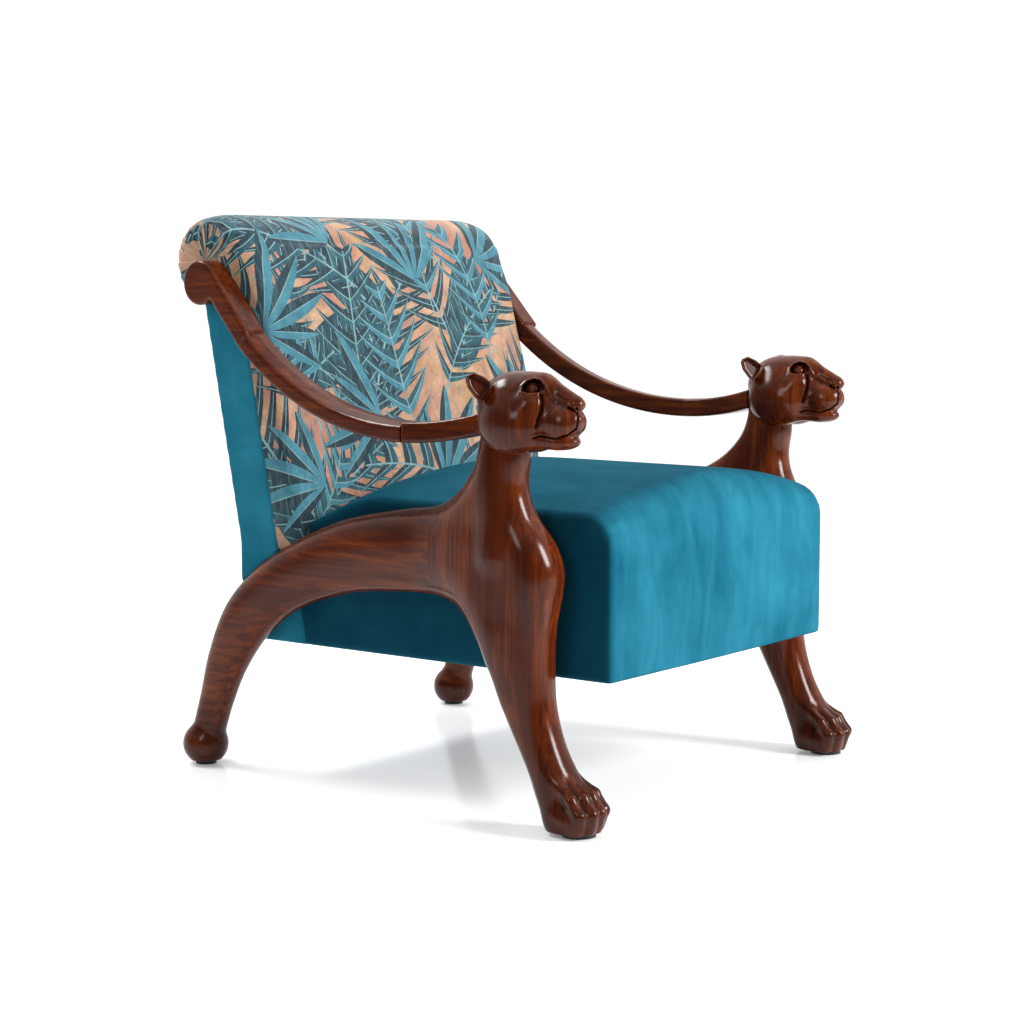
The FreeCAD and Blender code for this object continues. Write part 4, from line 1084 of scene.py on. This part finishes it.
def cloth_places(points):
    """Places on the leaf fabric, in metres across and along it, over the roll and its ends."""
    x = points[:, 0]
    behind, up = back_place(points[:, 1], points[:, 2])
    aside = np.hypot(behind, up)
    angle = np.arctan2(up, -behind) % math.tau
    on_pad = (up < 0) & (behind < -25)
    along = np.where(on_pad, PAD_LONG + up, PAD_LONG + ROLL_RADIUS * angle)
    sunk = np.where(np.abs(x) > 270, np.maximum(behind + ROLL_RADIUS + pad_fullness(up), 0), 0)
    short = np.where(on_pad, sunk, np.maximum(ROLL_RADIUS - aside, 0))
    across = np.sign(x) * (np.abs(x) + short)
    return np.stack([across, along, np.zeros_like(x)], axis=1) * MM


def fill(piece, held):
    """Swell a pad with the cloth simulation, its held points fixed and its movement capped."""
    settings = bpy.context.scene.panther_upholstery
    before = places_of(piece)
    group = piece.vertex_groups.new(name="held")
    for index, weight in enumerate(held):
        if weight > 0:
            group.add([index], float(weight), "REPLACE")
    cloth = piece.modifiers.new("fill", "CLOTH")
    for name, value in CLOTH.items():
        setattr(cloth.settings, name, value)
    cloth.settings.uniform_pressure_force = settings.pressure
    cloth.settings.effector_weights.gravity = 0
    cloth.settings.vertex_group_mass = group.name
    cloth.point_cache.frame_start = 1
    cloth.point_cache.frame_end = settings.frames
    for number in range(1, settings.frames + 1):
        bpy.context.scene.frame_set(number)
    shaped = piece.evaluated_get(bpy.context.evaluated_depsgraph_get())
    flat = np.empty(len(before) * 3, np.float32)
    shaped.data.vertices.foreach_get("co", flat)
    piece.modifiers.remove(cloth)
    piece.vertex_groups.remove(group)
    bpy.context.scene.frame_set(1)
    moved = flat.reshape(-1, 3) / MM - before
    far = np.linalg.norm(moved, axis=1, keepdims=True)
    cap = settings.swell_limit / MM
    set_places(piece, before + moved * (cap * np.tanh(far / cap) / np.maximum(far, 1e-6)))


def settle(piece):
    """One subdivision of a pad."""
    finer = piece.modifiers.new("finer", "SUBSURF")
    finer.levels = finer.render_levels = 1
    shaped = piece.evaluated_get(bpy.context.evaluated_depsgraph_get())
    mesh = bpy.data.meshes.new_from_object(shaped)
    piece.modifiers.remove(finer)
    old, piece.data = piece.data, mesh
    mesh.name = old.name
    bpy.data.meshes.remove(old)


class PANTHER_OT_carved_sides(bpy.types.Operator):
    """Carve both panthers: heads, foreleg posts and haunches"""
    bl_idname = "panther.carved_sides"
    bl_label = "Carve the sides"

    def execute(self, context):
        settings = context.scene.panther_carving
        upright = mahogany("mahogany upright", "Z")
        lengthways = mahogany("mahogany lengthways", "Y")
        add_both("panther_head", carve_head(settings.head_grid), upright)
        add_both("foreleg_post", carve_post(settings.limb_grid), upright, 1)
        add_both("haunch", carve_haunch(settings.limb_grid), lengthways, -1)
        return {"FINISHED"}


class PANTHER_OT_armrests(bpy.types.Operator):
    """Shape the tails that make the armrests"""
    bl_idname = "panther.armrests"
    bl_label = "Shape the armrests"

    def execute(self, context):
        step = context.scene.panther_carving.arm_grid
        wood = bpy.data.materials["mahogany lengthways"]
        add_both("arm_front", carve_arm_front(step), wood)
        add_both("arm_rail", carve_arm_rail(step), wood)
        add_both("arm_scroll", carve_arm_scroll(step), wood)
        return {"FINISHED"}


class PANTHER_OT_seat(bpy.types.Operator):
    """Fill and cover the seat"""
    bl_idname = "panther.seat"
    bl_label = "Cover the seat"

    def execute(self, context):
        step = context.scene.panther_upholstery.pad_grid
        points, faces, _ = seat_form(step)
        piece = new_piece("seat_cushion", points, faces, velvet("seat velvet", 0.2625, 0.76))
        held = (points[:, 2] < 215) | (points[:, 1] > 170) | (np.abs(points[:, 0]) > 262)
        fill(piece, held.astype(float))
        settle(piece)
        # lean holds how strongly painted shade darkens each point of the seat, from how it faces
        keep_values(piece.data, "lean", side_facing(piece))
        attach(piece, "root")
        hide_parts("seat_cover", "seat_foam", "left_seat_side_cover", "right_seat_side_cover")
        return {"FINISHED"}


class PANTHER_OT_back(bpy.types.Operator):
    """Fill the leaf pad and its roll, and cover the outside of the back"""
    bl_idname = "panther.back"
    bl_label = "Cover the back"

    def execute(self, context):
        step = context.scene.panther_upholstery.pad_grid
        points, faces, _ = back_form(step)
        pad = new_piece("leaf_back", points, faces, leaf_jacquard("leaf jacquard"))
        behind, up = back_place(points[:, 1], points[:, 2])
        held = (behind > 0) | (np.abs(points[:, 0]) > 280) | (up < -PAD_LONG + 12) | (up > 0)
        fill(pad, held.astype(float))
        settle(pad)
        add_pleats(pad)
        keep_values(pad.data, "cloth", cloth_places(places_of(pad)))
        points, faces, _ = shell_form(step)
        shell = new_piece("back_shell", points, faces, velvet("back velvet"))
        settle(shell)
        for piece, slot in ((pad, "leaf_jacquard"), (shell, "teal_velvet")):
            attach(piece, "root")
        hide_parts("back_cover", "back_foam", "roll_foam", "left_roll_end_cover",
                    "right_roll_end_cover")
        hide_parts("outside_back_cover", "left_back_side_cover", "right_back_side_cover",
                    "left_back_foot_cover", "right_back_foot_cover")
        return {"FINISHED"}


class PANTHER_OT_frame(bpy.types.Operator):
    """Give the CAD frame and its fixings their materials"""
    bl_idname = "panther.frame"
    bl_label = "Finish the frame"

    def execute(self, context):
        finishes = {
            "frame_beech": plain("beech", shade(205, 170, 125), 0.6, grain=60.0),
            "webbing": plain("webbing", shade(90, 80, 66), 0.9),
            "dust_cloth": plain("dust cloth", shade(26, 26, 28), 0.95),
            "steel": plain("steel", shade(170, 172, 176), 0.35, 1.0),
            "brass": plain("brass", shade(196, 160, 90), 0.35, 1.0),
            "glide": plain("glide", shade(22, 22, 22), 0.5),
        }
        self.stretch_dust_sheet(finishes["dust_cloth"])
        for part in frame["record"]["subparts"]:
            if part["material_slot"] in finishes:
                node = frame["nodes"][part["node"]]
                node.data.materials.clear()
                node.data.materials.append(finishes[part["material_slot"]])
        return {"FINISHED"}

    def stretch_dust_sheet(self, cloth):
        """Black cloth drawn tight under the seat, with a little sag."""
        low, high = (np.array(place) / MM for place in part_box("dust_cover"))
        across, along = np.linspace(0, 1, 19), np.linspace(0, 1, 21)
        points = [(*(low[:2] + (high - low)[:2] * (u, v)), low[2] + 0.4 - 40 * u * (1 - u) * v * (1 - v))
                  for u in across for v in along]
        count = len(along)
        faces = [(first, first + count, first + count + 1, first + 1)
                 for row in range(len(across) - 1) for first in range(row * count, row * count + count - 1)]
        sheet = new_piece("dust_sheet", points, faces, cloth)
        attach(sheet, "root")
        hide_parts("dust_cover")


# Softboxes: place, size and power
SOFTBOXES = {
    "key": ((0.9, -3.3, 1.9), (1.0, 1.5), 165),
    "side": ((-3.2, -0.4, 2.1), (0.7, 1.5), 22),
    "top": ((-0.5, 1.7, 2.7), (1.4, 0.6), 55),
}
AWAY = (0.798, 0.603, 0)
FLOOR_REACH = 60000
NEAR_FLOOR = (0.1, 0.1, 0.1)


class PANTHER_OT_stage(bpy.types.Operator):
    """Stand the chair on a pale floor in soft light, with the camera before it"""
    bl_idname = "panther.stage"
    bl_label = "Set the stage"

    def execute(self, context):
        settings = context.scene.panther_stage
        context.scene.view_settings.view_transform = "Standard"
        self.add_camera(context.scene, settings)
        for name, (place, size, power) in SOFTBOXES.items():
            self.add_softbox(context.scene, name, place, size, power)
        self.light_world(context.scene)
        self.add_floor(settings)
        return {"FINISHED"}

    def add_camera(self, scene, settings):
        flat = math.cos(settings.elevation)
        toward = Vector((math.sin(settings.azimuth) * flat, -math.cos(settings.azimuth) * flat,
                         math.sin(settings.elevation)))
        camera = bpy.data.objects.new("main camera", bpy.data.cameras.new("main camera"))
        camera.data.lens = settings.lens
        camera.location = settings.eye
        camera.rotation_euler = (-toward).to_track_quat("-Z", "Y").to_euler()
        scene.collection.objects.link(camera)
        scene.camera = camera

    def add_softbox(self, scene, name, place, size, power):
        """A rectangular softbox that faces the chair."""
        light = bpy.data.objects.new(name, bpy.data.lights.new(name, "AREA"))
        light.data.shape = "RECTANGLE"
        light.data.size, light.data.size_y = size
        light.data.energy = power
        light.location = place
        light.rotation_euler = (Vector((0, 0, 0.4)) - Vector(place)).to_track_quat("-Z", "Y").to_euler()
        scene.collection.objects.link(light)

    def light_world(self, scene):
        """A pale room, brightest overhead and behind the chair and dim on the camera's side."""
        scene.world = bpy.data.worlds.new("studio")
        room = Finish(scene.world)
        way = room.node("ShaderNodeTexCoord", output="Generated")
        height = room.parts(way)[2]
        level = room.ramp(room.along(way, AWAY) * 0.5 + 0.5, (0.42, 0.14), (0.74, 1.0)) * 1.1
        roof = room.ramp(height, (0.3, 0.0), (0.95, 1.0)) * 0.55
        glow = room.node("ShaderNodeBackground", None, {"Color": (1, 1, 1, 1), "Strength": level + roof})
        room.node("ShaderNodeOutputWorld", None, {"Surface": glow}, None)

    def add_floor(self, settings):
        """A pale floor, dim behind the camera, with a faint painted glow that lifts the shadows on it."""
        finish = new_finish("floor")
        away = finish.along(finish.object_place(), AWAY)
        near = finish.ramp(away * 0.25 + 1, (0.36, 0.0), (0.66, 1.0))
        colour = finish.mix(near, NEAR_FLOOR, settings.floor_colour)
        # Painted light: the floor glows a little, lightening the chair's shadow on it
        finish.surface(
            Base_Color=colour, Roughness=0.14, Specular_IOR_Level=0.12, Emission_Color=colour,
            Emission_Strength=0.16)
        corners = [(FLOOR_REACH * x, FLOOR_REACH * y, 0) for x, y in ((-1, -1), (1, -1), (1, 1), (-1, 1))]
        new_piece("floor", corners, [(0, 1, 2, 3)], finish.owner)


class PANTHER_PT_panel(bpy.types.Panel):
    """Settings of the armchair and a button for each of its groups"""
    bl_idname = "PANTHER_PT_panel"
    bl_label = "Panther armchair"
    bl_space_type = "VIEW_3D"
    bl_region_type = "UI"
    bl_category = "Armchair"

    def draw(self, context):
        for operator in OPERATORS:
            self.layout.operator(operator.bl_idname)
        for name, group in SETTINGS.items():
            box = self.layout.box()
            for field in group.__annotations__:
                box.prop(getattr(context.scene, name), field)


SETTINGS = {
    "panther_carving": CarvingSettings,
    "panther_upholstery": UpholsterySettings,
    "panther_leaves": LeafSettings,
    "panther_stage": StageSettings,
}
OPERATORS = (
    PANTHER_OT_carved_sides, PANTHER_OT_armrests, PANTHER_OT_seat, PANTHER_OT_back, PANTHER_OT_frame,
    PANTHER_OT_stage)


def register():
    for name, group in SETTINGS.items():
        bpy.utils.register_class(group)
        setattr(bpy.types.Scene, name, PointerProperty(type=group))
    for part in (*OPERATORS, PANTHER_PT_panel):
        bpy.utils.register_class(part)


def unregister():
    for part in (PANTHER_PT_panel, *reversed(OPERATORS)):
        bpy.utils.unregister_class(part)
    for name, group in SETTINGS.items():
        delattr(bpy.types.Scene, name)
        bpy.utils.unregister_class(group)


def main():
    register()
    bpy.ops.panther.carved_sides()
    bpy.ops.panther.armrests()
    bpy.ops.panther.seat()
    bpy.ops.panther.back()
    bpy.ops.panther.frame()
    bpy.ops.panther.stage()


if __name__ == "__main__":
    main()
